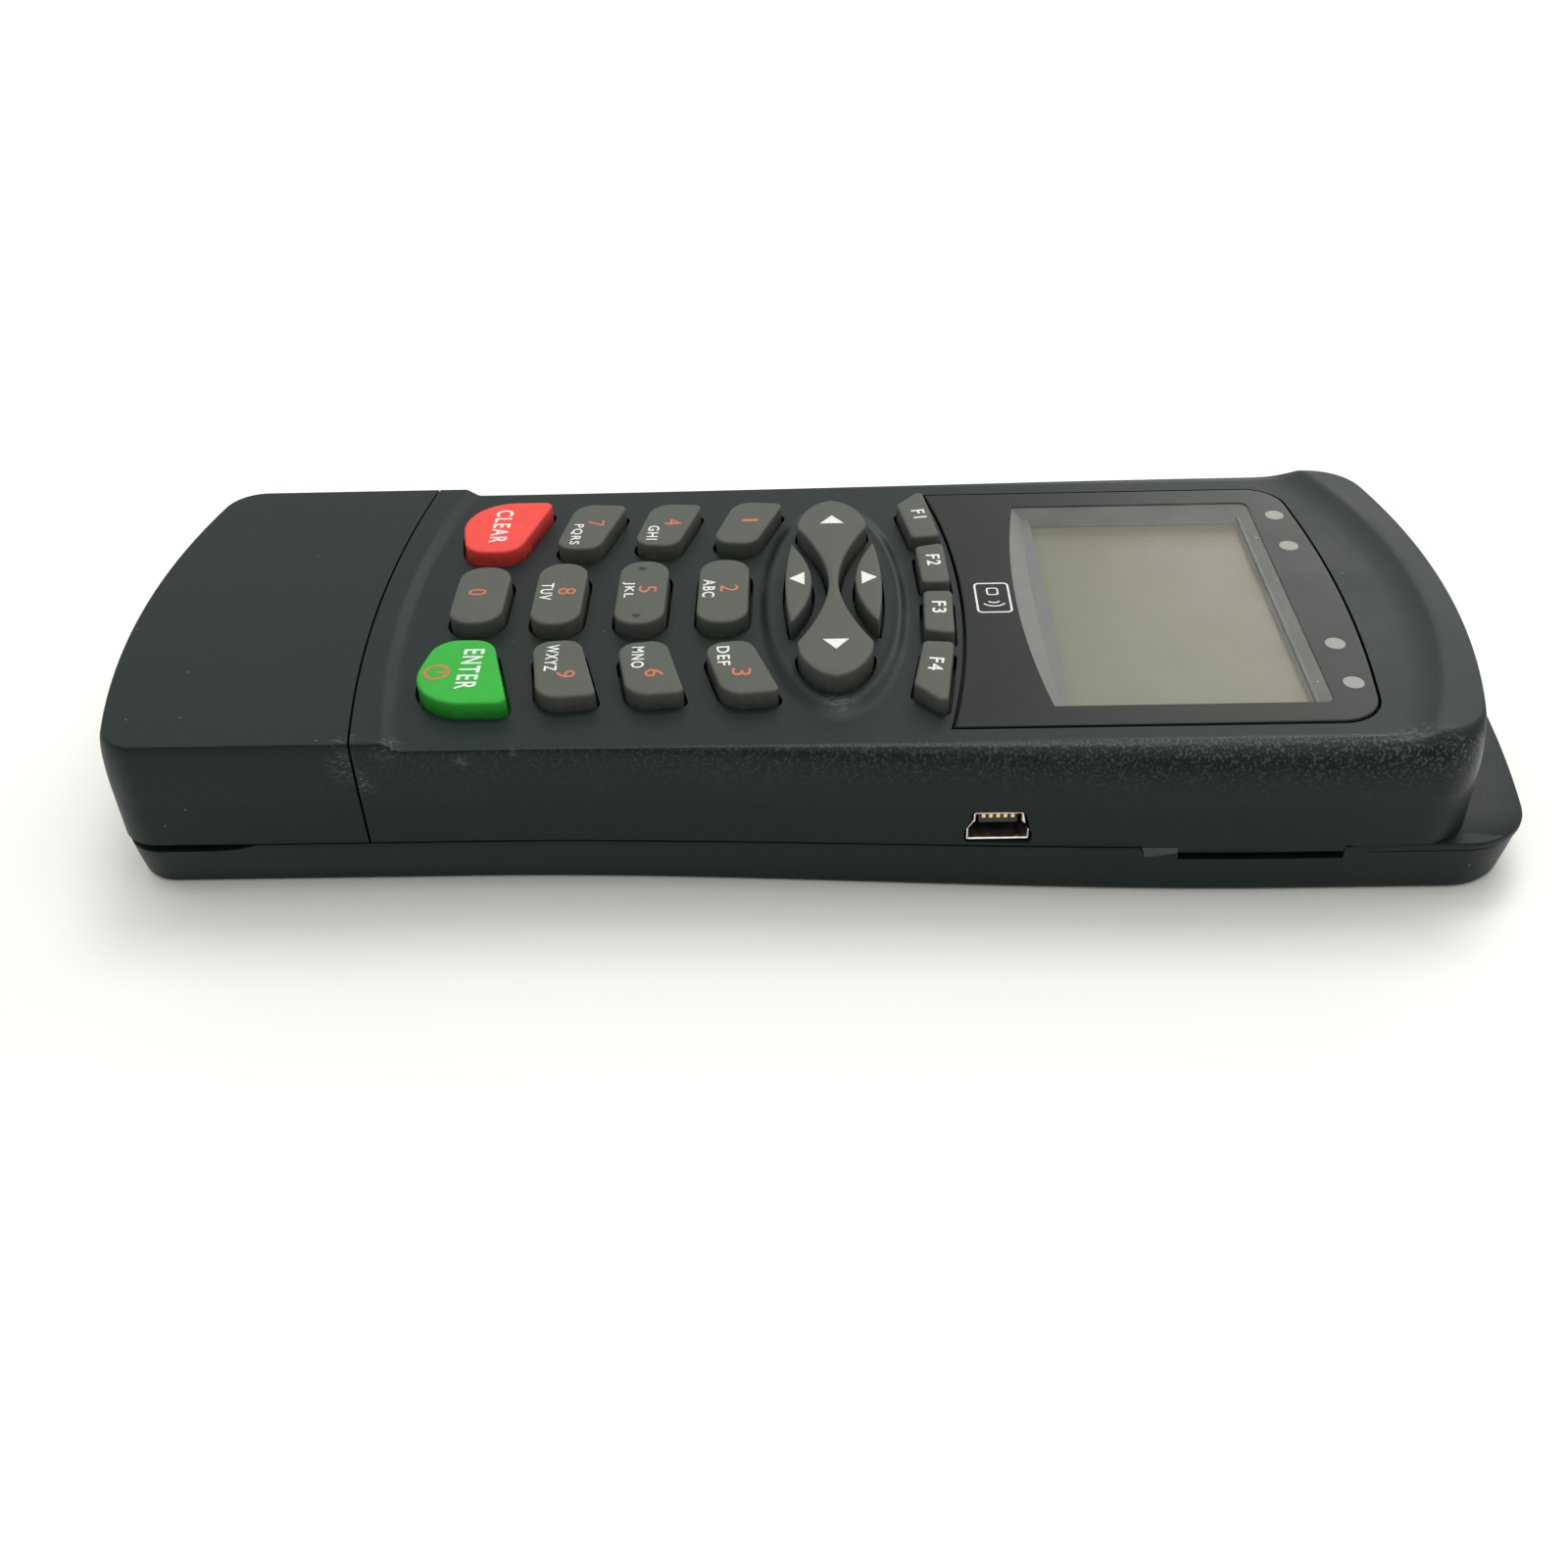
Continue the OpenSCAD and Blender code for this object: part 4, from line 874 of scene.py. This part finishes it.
class TERMINAL_OT_lower(bpy.types.Operator):
    """Lower casing with its card slot, side slot, battery bay and screw holes"""
    bl_idname = "terminal.lower"
    bl_label = "Lower casing"

    def execute(self, context):
        body = lower_shell("lower_casing_shell")
        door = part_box("battery_door")
        dx, y0, y1 = door[1].x / MM + 0.3, door[0].y / MM - 0.4, 27.0
        screws = [(-25.2, -20.5), (25.2, -20.5), (-27.6, 29.6), (27.6, 29.6)]
        cut(body, prism("c", rect(-dx, dx, y0, y1), -1, 2.4))
        cut(body, prism("c", rect(-45, 45, LIP_FROM_Y, 95), LIP_Z - 0.28, 8))
        cut(body, *[prism("c", circle(x, y, 2.5), -1, 2.4) for x, y in screws])
        slit = np.array([[-100, 6.3], [-70, 6.3], [-67, 6.55], [-63.8, 7.6], [-63.8, 20], [-100, 20]])
        cut(body, turned_prism("c", slit, -60, 60))
        cut(body, turned_prism("c", rect(LIP_FROM_Y - 0.15, 120, LIP_Z - 0.13, 20), -60, 60))
        side = np.array([[37.2, 7.1], [37.8, 5.8], [41.5, 6.3], [41.5, 5.5], [60.25, 5.5], [60.25, 20],
            [37.2, 20]])
        cut(body, turned_prism("c", side, 29.2, 60))
        place(body, "casing", "casing_plastic", "lower_casing", material=MATERIALS["lower_plastic"])
        outer, inner = rect(-18.6, 18.6, -25.2, 29), rect(-17.6, 17.6, -24.2, 28)
        bay = stack("battery_bay",
            [at(outer, 1.65), at(outer, 12.4), at(inner, 12.4), at(inner, 1.65), at(outer, 1.65)])
        place(bay, "casing", "casing_plastic", material=MATERIALS["lower_plastic"])
        bosses = []
        for x, y in screws:
            hole, boss = circle(x, y, 1.5), circle(x, y, 3.0)
            wide = circle(x, y, 2.5)
            bosses.append(stack("b",
                [at(wide, 1.2), at(boss, 1.3), at(boss, 7.5), at(hole, 7.5), at(hole, 2.8),
                                      at(wide, 2.8), at(wide, 1.2)]))
        place(joined("screw_bosses", bosses), "casing", "casing_plastic",
            material=MATERIALS["lower_plastic"])
        return {"FINISHED"}


# ---- keys ----
def key_rows(ring_at, edge, dome, top, foot_z, centre, plunger, flange=0.7):
    """Rows of one key. ring_at(g) is its plan grown by g. From the plunger's foot: plunger, flange, side,
    a quarter-round
    top edge, and a top that rises by dome (1 - t^2) towards the middle."""
    body = ring_at(0.0)
    c = np.asarray(centre, float)
    d = body - c
    foot = c + d / np.linalg.norm(d, axis=1)[:, None] * plunger
    rows = [pole(foot, 15.5, c), at(foot, 15.5), at(foot, foot_z)]
    if flange:
        rows += [at(ring_at(flange), foot_z), at(ring_at(flange), foot_z + 1.0)]
    rows += [at(body, foot_z + 1.0), at(body, top - edge - 1.2)]
    for a in np.radians([0, 15, 30, 45, 60, 75, 90]):
        rows.append(at(ring_at(-edge * (1 - math.cos(a))), top - dome - edge * (1 - math.sin(a))))
    last = rows[-1][:, :2]
    mid = last.mean(0)
    for t in np.linspace(1, 0, 9)[1:]:
        rows.append(at(mid + (last - mid) * t, top - dome * t * t))
    return rows


class TERMINAL_OT_keys(bpy.types.Operator):
    """Silicone keys with rounded edges: digits, words, functions, up, down and the left-right rocker"""
    bl_idname = "terminal.keys"
    bl_label = "Keys"

    def execute(self, context):
        sizes = context.scene.terminal_sizes
        edge, dome = sizes.key_edge / MM, sizes.key_dome / MM
        for name, (_, _, centre, plunger) in KEYS.items():
            slot = {"key_clear": "red_rubber", "key_enter": "green_rubber"}.get(name, "key_rubber")
            ob = stack(name + "_cap",
                key_rows(lambda g: key_outline(name, g), edge, dome, KEY_TOP_Z, 17.3, centre, plunger))
            place(ob, name, slot, name, angle=50)
        for name, way in (("key_up", 1), ("key_down", -1)):
            ob = stack(name + "_cap", key_rows(lambda g: nav_outline(way, g), edge, dome, NAV_TOP_Z, 17.3,
                                               (0, NAV_Y + way * 4.45), 1.2))
            place(ob, name, "key_rubber", name, material=MATERIALS["nav_rubber"], angle=50)
        body = rocker_outline()
        line = np.column_stack([np.clip(body[:, 0], -19.5, 19.5), np.full(len(body), NAV_Y)])
        rows = [at(line, 17.6), at(body, 17.6), at(body, NAV_TOP_Z - edge - 1.2)]
        away = body - line
        reach = np.linalg.norm(away, axis=1)[:, None]
        for a in np.radians([0, 15, 30, 45, 60, 75, 90]):
            pull = np.minimum(edge * (1 - math.cos(a)), reach * 0.6) / np.maximum(reach, 1e-6)
            rows.append(at(body - away * pull, NAV_TOP_Z - dome - edge * (1 - math.sin(a))))
        last = rows[-1][:, :2]
        for t in np.linspace(1, 0, 7)[1:]:
            rows.append(at(line + (last - line) * t, NAV_TOP_Z - dome * t * t))
        rocker = stack("r", rows)
        cut(rocker, turned_bar(0.86, 3.2, 17.6))
        feet = [prism("f", circle(x, NAV_Y, 2.0), 15.5, 17.7) for x in (-14, 14)]
        rocker = joined("left_right_rocker", [rocker, *feet])
        place(rocker, "key_left_right", "key_rubber", "key_left_right", material=MATERIALS["nav_rubber"],
            angle=50)
        pips = [stack("p", [at(circle(x, -21.15, r, 16), z) for r, z in
                            ((0.0, 22.2), (0.5, 22.2), (0.48, 22.52), (0.36, 22.68), (0.18, 22.75),
                                (0.0, 22.77))])
                for x in (-5.5, 5.5)]
        place(joined("key_5_pips", pips), "key_5", "key_rubber", angle=60)
        return {"FINISHED"}


def turned_bar(r, half, z):
    """A round bar along Y under the rocker's waist, for cutting its groove."""
    ring = circle(0, z, r, 32)
    ob = prism("bar", ring, NAV_Y - half, NAV_Y + half)
    co = np.zeros(len(ob.data.vertices) * 3)
    ob.data.vertices.foreach_get("co", co)
    ob.data.vertices.foreach_set("co", co.reshape(-1, 3)[:, [0, 2, 1]].ravel())
    return tidy(ob)


# ---- legends ----
def lettering(name, words, x, y, height, width, turn, z, thick):
    """Words as a thin solid: the text is scaled so that it measures width by height, turned, and set at x,
    y, z."""
    curve = bpy.data.curves.new(name, "FONT")
    curve.body, curve.size, curve.resolution_u = words, 1.0, 6
    curve.offset, curve.space_character = (0.016, 1.2) if len(words) > 1 else (0.0, 1.0)
    curve.extrude = 0.5
    ob = bpy.data.objects.new(name, curve)
    bpy.context.scene.collection.objects.link(ob)
    bpy.context.view_layer.update()
    mesh = bpy.data.meshes.new_from_object(ob.evaluated_get(bpy.context.evaluated_depsgraph_get()))
    bpy.data.objects.remove(ob)
    co = np.zeros(len(mesh.vertices) * 3)
    mesh.vertices.foreach_get("co", co)
    co = co.reshape(-1, 3)
    lo, hi = co.min(0), co.max(0)
    co = (co - (lo + hi) / 2) / (hi - lo) * [width, height, thick]
    a = math.radians(turn)
    flat = co[:, :2] @ np.array([[math.cos(a), math.sin(a)], [-math.sin(a), math.cos(a)]])
    out = np.column_stack([flat + [x, y], co[:, 2] + z + thick * 0.3]) * MM
    mesh.vertices.foreach_set("co", out.ravel())
    ob = bpy.data.objects.new(name, mesh)
    bpy.context.scene.collection.objects.link(ob)
    return tidy(ob, 0.002)


def band_plate(name, outer, inner, z, thick):
    """A flat frame between two plan rows of the same count."""
    top, foot = z + thick * 0.8, z - thick * 0.2
    return stack(name, [at(outer, foot), at(outer, top), at(inner, top), at(inner, foot), at(outer, foot)])


def flat_plate(name, ring, z, thick):
    """A flat solid on a plan row."""
    top, foot = z + thick * 0.8, z - thick * 0.2
    ring = np.asarray(ring, float)
    return stack(name, [pole(ring, foot), at(ring, foot), at(ring, top), pole(ring, top)])


# Key, words, x, y, height, width, turn in degrees, ink.
LEGENDS = [
    ("key_1", "1", -17.3, -7.8, 2.1, 0.6, 0, "orange_ink"),
        ("key_2", "2", -0.2, -10.0, 2.25, 1.5, 0, "orange_ink"),
    ("key_2", "ABC", -0.25, -12.55, 1.55, 4.1, 0, "white_ink"),
    ("key_3", "3", 18.25, -8.0, 2.25, 1.5, 0, "orange_ink"),
    ("key_3", "DEF", 14.9, -10.2, 1.5, 4.0, 4, "white_ink"),
    ("key_4", "4", -17.2, -18.0, 2.25, 1.6, 0, "orange_ink"),
    ("key_4", "GHI", -14.4, -20.5, 1.5, 3.7, -2, "white_ink"),
    ("key_5", "5", -0.3, -20.2, 2.25, 1.5, 0, "orange_ink"),
    ("key_5", "JKL", -0.25, -22.65, 1.55, 3.7, 0, "white_ink"),
    ("key_6", "6", 18.2, -18.1, 2.25, 1.5, 0, "orange_ink"),
    ("key_6", "MNO", 14.9, -20.25, 1.5, 4.4, 3, "white_ink"),
    ("key_7", "7", -17.2, -28.3, 2.25, 1.5, 0, "orange_ink"),
    ("key_7", "PQRS", -14.4, -30.65, 1.5, 5.3, -2, "white_ink"),
    ("key_8", "8", -0.15, -30.25, 2.25, 1.5, 0, "orange_ink"),
    ("key_8", "TUV", -0.15, -32.8, 1.55, 3.9, 0, "white_ink"),
    ("key_9", "9", 18.1, -28.4, 2.25, 1.5, 0, "orange_ink"),
    ("key_9", "WXYZ", 14.7, -30.4, 1.5, 5.5, 2, "white_ink"),
    ("key_0", "0", -0.3, -41.45, 2.25, 1.4, 0, "orange_ink"),
    ("key_clear", "CLEAR", -16.9, -40.8, 2.3, 8.6, 0, "white_ink"),
    ("key_enter", "ENTER", 16.7, -39.75, 2.45, 8.2, 0, "white_ink"),
    ("key_f1", "F1", -18.2, 14.6, 1.75, 2.2, 9, "white_ink"),
    ("key_f2", "F2", -6.2, 15.75, 1.75, 2.6, 2, "white_ink"),
    ("key_f3", "F3", 5.0, 15.7, 1.75, 2.6, -2, "white_ink"),
    ("key_f4", "F4", 17.3, 14.5, 1.75, 2.6, -9, "white_ink"),
]


class TERMINAL_OT_legends(bpy.types.Operator):
    """Printed digits, letters, arrows and the plain pictograms"""
    bl_idname = "terminal.legends"
    bl_label = "Legends"

    def execute(self, context):
        thick = context.scene.terminal_sizes.print_height / MM
        for key, words, x, y, h, w, turn, ink in LEGENDS:
            slot = {"key_clear": "red_rubber", "key_enter": "green_rubber"}.get(key, "key_rubber")
            ob = lettering(f"print_{words.lower()}_on_{key}", words, x, y, h, w, turn, KEY_TOP_Z - 0.01,
                thick)
            place(ob, key, slot, material=MATERIALS[ink])
        arrows = [("key_up", [(-2.1, 6.45), (0.9, 6.45), (-0.6, 8.35)]),
            ("key_down", [(-2.1, -0.65), (-0.6, -2.55), (0.9, -0.65)]),
                  ("key_left_right", [(13.2, 1.45), (15.3, 3.0), (13.2, 4.55)]),
                  ("key_left_right", [(-14.3, 1.45), (-14.3, 4.55), (-16.4, 3.0)])]
        for i, (key, pts) in enumerate(arrows):
            ob = flat_plate(f"arrow_{i}_on_{key}", np.array(pts), NAV_TOP_Z - 0.02, thick)
            place(ob, key, "key_rubber", material=MATERIALS["white_ink"])
        ring = band_plate("r", circle(17.3, -43.5, 1.55), circle(17.3, -43.5, 1.15), KEY_TOP_Z - 0.03,
            thick)
        bar = flat_plate("b", rect(17.15, 17.45, -43.6, -42.5), KEY_TOP_Z - 0.03, thick)
        place(joined("power_mark_on_key_enter", [ring, bar]), "key_enter", "green_rubber",
            material=MATERIALS["orange_ink"])
        corners = [0.7] * 4
        card = band_plate("c", rounded(rect(-3.6, 3.4, 20.6, 25.0), corners),
            rounded(rect(-3.35, 3.15, 20.85, 24.75), [0.45] * 4),
                          LENS_TOP_Z, thick)
        chip = band_plate("c", rounded(rect(-2.4, -0.7, 22.1, 23.6), [0.35] * 4),
            rounded(rect(-2.2, -0.9, 22.3, 23.4), [0.15] * 4),
                          LENS_TOP_Z, thick)
        waves = []
        for r in (1.0, 1.8):
            a = np.radians(np.linspace(-50, 50, 24))
            arc = np.column_stack([0.2 + np.cos(a) * r, 22.85 + np.sin(a) * r])
            inn = np.column_stack([0.2 + np.cos(a) * (r - 0.22), 22.85 + np.sin(a) * (r - 0.22)])
            loop = np.vstack([arc, inn[::-1]])
            top, foot = LENS_TOP_Z + thick * 0.8, LENS_TOP_Z - thick * 0.2
            cols = np.array([at(arc, foot), at(arc, top), at(inn, top), at(inn, foot)]).transpose(1, 0, 2)
            waves.append(stack("w", np.concatenate([np.repeat(cols[0].mean(0)[None], 4, 0)[None], cols,
                                                    np.repeat(cols[-1].mean(0)[None], 4, 0)[None]])))
        place(joined("card_pictogram", [card, chip, *waves]), "casing", "lens",
            material=MATERIALS["white_ink"])
        return {"FINISHED"}


# ---- display and socket ----
def window_outline(inset=0.0):
    """Plan of the clear window: bowed base edge, straight sides, small rounded corners."""
    w, r = 23.3 - inset, 140.0
    x = np.linspace(-w, w, 41)
    base = np.column_stack([x, 25.6 + inset + r - np.sqrt(r**2 - x**2)])
    c, y1 = 1.1, 59.2 - inset
    a = np.linspace(0, math.pi / 2, 8)
    right = np.column_stack([w - c + c * np.cos(a), y1 - c + c * np.sin(a)])
    return np.vstack([base, right, right[::-1] * [-1, 1]])


def slab_of(outline, name, edge, foot):
    """A slab from foot to the lens top whose upper edge is a quarter round. outline(g) is its plan moved
    in by g."""
    rows = [at(spine(outline(0.0), 32, 52), foot), at(outline(0.0), foot)]
    for a in np.radians([0, 30, 60, 90]):
        rows.append(at(outline(edge * (1 - math.cos(a))), LENS_TOP_Z - edge * (1 - math.sin(a))))
    rows += [at(outline(edge + 0.15), LENS_TOP_Z), at(spine(outline(0.0), 32, 52), LENS_TOP_Z)]
    return stack(name, rows)


class TERMINAL_OT_display(bpy.types.Operator):
    """Lens with a softened edge over the border print, and the sloped frame round the display"""
    bl_idname = "terminal.display"
    bl_label = "Display"

    def execute(self, context):
        border = slab_of(lens_outline, "lens_border", 0.2, FILM_Z)
        cut(border, prism("c", window_outline(), FILM_Z - 1, 25))
        place(border, "casing", "lens", "display_lens", material=MATERIALS["lens_print"])
        window = slab_of(lambda g: window_outline(g + 0.01), "lens_window", 0.02, LENS_TOP_Z - 0.2)
        place(window, "casing", "lens")
        outer = window_outline(0.02)
        inner = np.column_stack([np.clip(outer[:, 0], *DISPLAY_VIEW_X), np.clip(outer[:, 1], *DISPLAY_VIEW_Y)])
        z0, z1 = high("lcd_panel", "z") + 0.02, LENS_TOP_Z - 0.25
        bevel = stack("window_bevel",
            [at(outer, z0), at(outer, z1), at(outer * 0.9995, z1), at(inner, z0 + 0.05),
                                       at(inner, z0), at(outer, z0)])
        place(bevel, "casing", "bezel_metal", material=MATERIALS["bevel_plastic"])
        discs = [flat_plate("d", circle(x, 62.2, 1.2), LENS_TOP_Z - 0.02, 0.05) for x in (-19.6, -11.5,
            11.5, 19.6)]
        place(joined("light_windows", discs), "casing", "frosted_plastic")
        return {"FINISHED"}


class TERMINAL_OT_socket(bpy.types.Operator):
    """Rolled shell of the USB socket and the contacts on its tongue"""
    bl_idname = "terminal.socket"
    bl_label = "USB socket"

    def execute(self, context):
        front = high("usb_shell", "x")
        rows = []
        for g, x in ((-0.3, 24.5), (-0.3, front - 0.2), (-0.24, front - 0.06), (-0.15, front),
            (-0.06, front - 0.03),
                     (0.0, front - 0.12), (0.0, 24.5), (-0.3, 24.5)):
            ring = usb_outline(g)
            rows.append(np.column_stack([np.full(len(ring), x), ring]))
        place(stack("usb_mouth", rows), "casing", "plated_steel", "usb_shell")
        tip = front - 0.7
        tongue = turned_prism("t", rounded(rect(18.75, 23.05, 10.35, 11.5), [0.12] * 4, 4), 24.6, tip)
        back = turned_prism("b", usb_outline(-0.45), 24.3, 25.2)
        place(joined("usb_tongue", [tidy(tongue), tidy(back)]), "casing", "black_plastic", "usb_insert")
        strips = []
        for k in range(5):
            y = 20.9 + (k - 2) * 0.82
            strips.append(tidy(turned_prism("s",
                rounded(rect(y - 0.2, y + 0.2, 11.05, 11.75), [0.05] * 4, 3), tip - 2.6, tip + 0.06)))
        place(joined("usb_contact_strips", strips), "casing", "gold_contact")
        return {"FINISHED"}


class TERMINAL_OT_frame_parts(bpy.types.Operator):
    """Finishes for the CAD nodes that stay as they are"""
    bl_idname = "terminal.frame_parts"
    bl_label = "Frame parts"

    def execute(self, context):
        slots = {s["node"]: s["material_slot"] for s in frame["record"]["subparts"]}
        own = {"battery_door": "lower_plastic"}
        for name, ob in frame["nodes"].items():
            ob.data.materials.clear()
            ob.data.materials.append(MATERIALS[own.get(name, slots[name])])
        return {"FINISHED"}


class TERMINAL_OT_materials(bpy.types.Operator):
    """Every finish"""
    bl_idname = "terminal.materials"
    bl_label = "Finishes"

    def execute(self, context):
        make_materials(context.scene.terminal_colours)
        return {"FINISHED"}


def studio_world():
    """An even bright room that is dimmer behind the viewer's side, at +X and above."""
    world = bpy.data.worlds.new("studio")
    world.use_nodes = True
    tree = world.node_tree
    back = tree.nodes["Background"]
    back.inputs["Strength"].default_value = 0.8
    coord = tree.nodes.new("ShaderNodeTexCoord")
    dot = tree.nodes.new("ShaderNodeVectorMath")
    dot.operation = "DOT_PRODUCT"
    dot.inputs[1].default_value = (0.84, -0.08, 0.54)
    tree.links.new(coord.outputs["Generated"], dot.inputs[0])
    dim = tree.nodes.new("ShaderNodeMapRange")
    dim.interpolation_type = "SMOOTHSTEP"
    for socket, v in zip(dim.inputs[1:5], (0.25, 0.95, 0.0, 1.0)):
        socket.default_value = v
    tree.links.new(dot.outputs["Value"], dim.inputs[0])
    mix = tree.nodes.new("ShaderNodeMix")
    mix.data_type = "RGBA"
    tree.links.new(dim.outputs[0], mix.inputs[0])
    mix.inputs[6].default_value = (1.0, 1.0, 0.97, 1)
    mix.inputs[7].default_value = (0.3, 0.3, 0.29, 1)
    tree.links.new(mix.outputs[2], back.inputs["Color"])
    return world


class TERMINAL_OT_stage(bpy.types.Operator):
    """Pale table, soft light and camera"""
    bl_idname = "terminal.stage"
    bl_label = "Stage"

    def execute(self, context):
        scene = context.scene
        a = np.linspace(0, 2 * math.pi, 65)[:-1]
        radii = np.array([0, 300, 900, 2500.0])
        rows = np.stack([np.column_stack([np.cos(a) * r, np.sin(a) * r,
            np.full(64, -0.01)]) for r in radii])
        floor = tidy(mesh_object("table", rows.reshape(-1, 3), grid_faces(4, 64)))
        n = Nodes("table_top")
        tone = n.noise(120.0, 3)
        n.finish(n.mix(n.ramp(tone, 0.3, 0.7), (0.93, 0.93, 0.905), (0.96, 0.96, 0.935)), 0.55)
        floor.data.materials.append(n.mat)
        scene.world = studio_world()
        lamps = [("key_light", (-0.55, 0.10, 1.15), 0.5, 4.6), ("wide_light", (0.35, 0.0, 1.25), 1.8, 8.5),
                 ("head_light", (-0.95, 0.52, 0.52), 0.55, 2.2)]
        for name, where, size, watts in lamps:
            light = bpy.data.lights.new(name, "AREA")
            light.size, light.energy = size, watts
            light.color = (1.0, 1.0, 0.965)
            ob = bpy.data.objects.new(name, light)
            ob.location = where
            aim = -np.array(where)
            ob.rotation_euler = (math.atan2(math.hypot(aim[0], aim[1]), -aim[2]), 0,
                math.atan2(-aim[0], aim[1]))
            scene.collection.objects.link(ob)
        cam = bpy.data.cameras.new("camera")
        cam.sensor_width, cam.lens = 36.0, 36.0 * 1650 / 1600
        ob = bpy.data.objects.new("camera", cam)
        ob.location = (0.17269, 0.00037, 0.12777)
        ob.rotation_euler = Euler([math.radians(v) for v in (51.717, 1.396, 90.333)])
        cam.clip_start, cam.clip_end = 0.005, 50
        scene.collection.objects.link(ob)
        scene.camera = ob
        scene.view_settings.view_transform = "Standard"
        return {"FINISHED"}


STEPS = (TERMINAL_OT_stage, TERMINAL_OT_materials, TERMINAL_OT_frame_parts, TERMINAL_OT_upper,
    TERMINAL_OT_lower,
         TERMINAL_OT_keys, TERMINAL_OT_legends, TERMINAL_OT_display, TERMINAL_OT_socket)


class TERMINAL_PT_panel(bpy.types.Panel):
    """The pieces in the order in which they are made"""
    bl_label = "Terminal"
    bl_space_type = "VIEW_3D"
    bl_region_type = "UI"
    bl_category = "Terminal"

    def draw(self, context):
        for group in (context.scene.terminal_sizes, context.scene.terminal_colours):
            for prop in group.bl_rna.properties:
                if prop.identifier not in ("name", "rna_type"):
                    self.layout.prop(group, prop.identifier)
        for step in STEPS:
            self.layout.operator(step.bl_idname)


CLASSES = (TerminalSizes, TerminalColours, *STEPS, TERMINAL_PT_panel)


def register():
    for c in CLASSES:
        bpy.utils.register_class(c)
    bpy.types.Scene.terminal_sizes = bpy.props.PointerProperty(type=TerminalSizes)
    bpy.types.Scene.terminal_colours = bpy.props.PointerProperty(type=TerminalColours)


def unregister():
    del bpy.types.Scene.terminal_colours
    del bpy.types.Scene.terminal_sizes
    for c in reversed(CLASSES):
        bpy.utils.unregister_class(c)


def main():
    register()
    for step in STEPS:
        group, name = step.bl_idname.split(".")
        getattr(getattr(bpy.ops, group), name)()


if __name__ == "__main__":
    main()
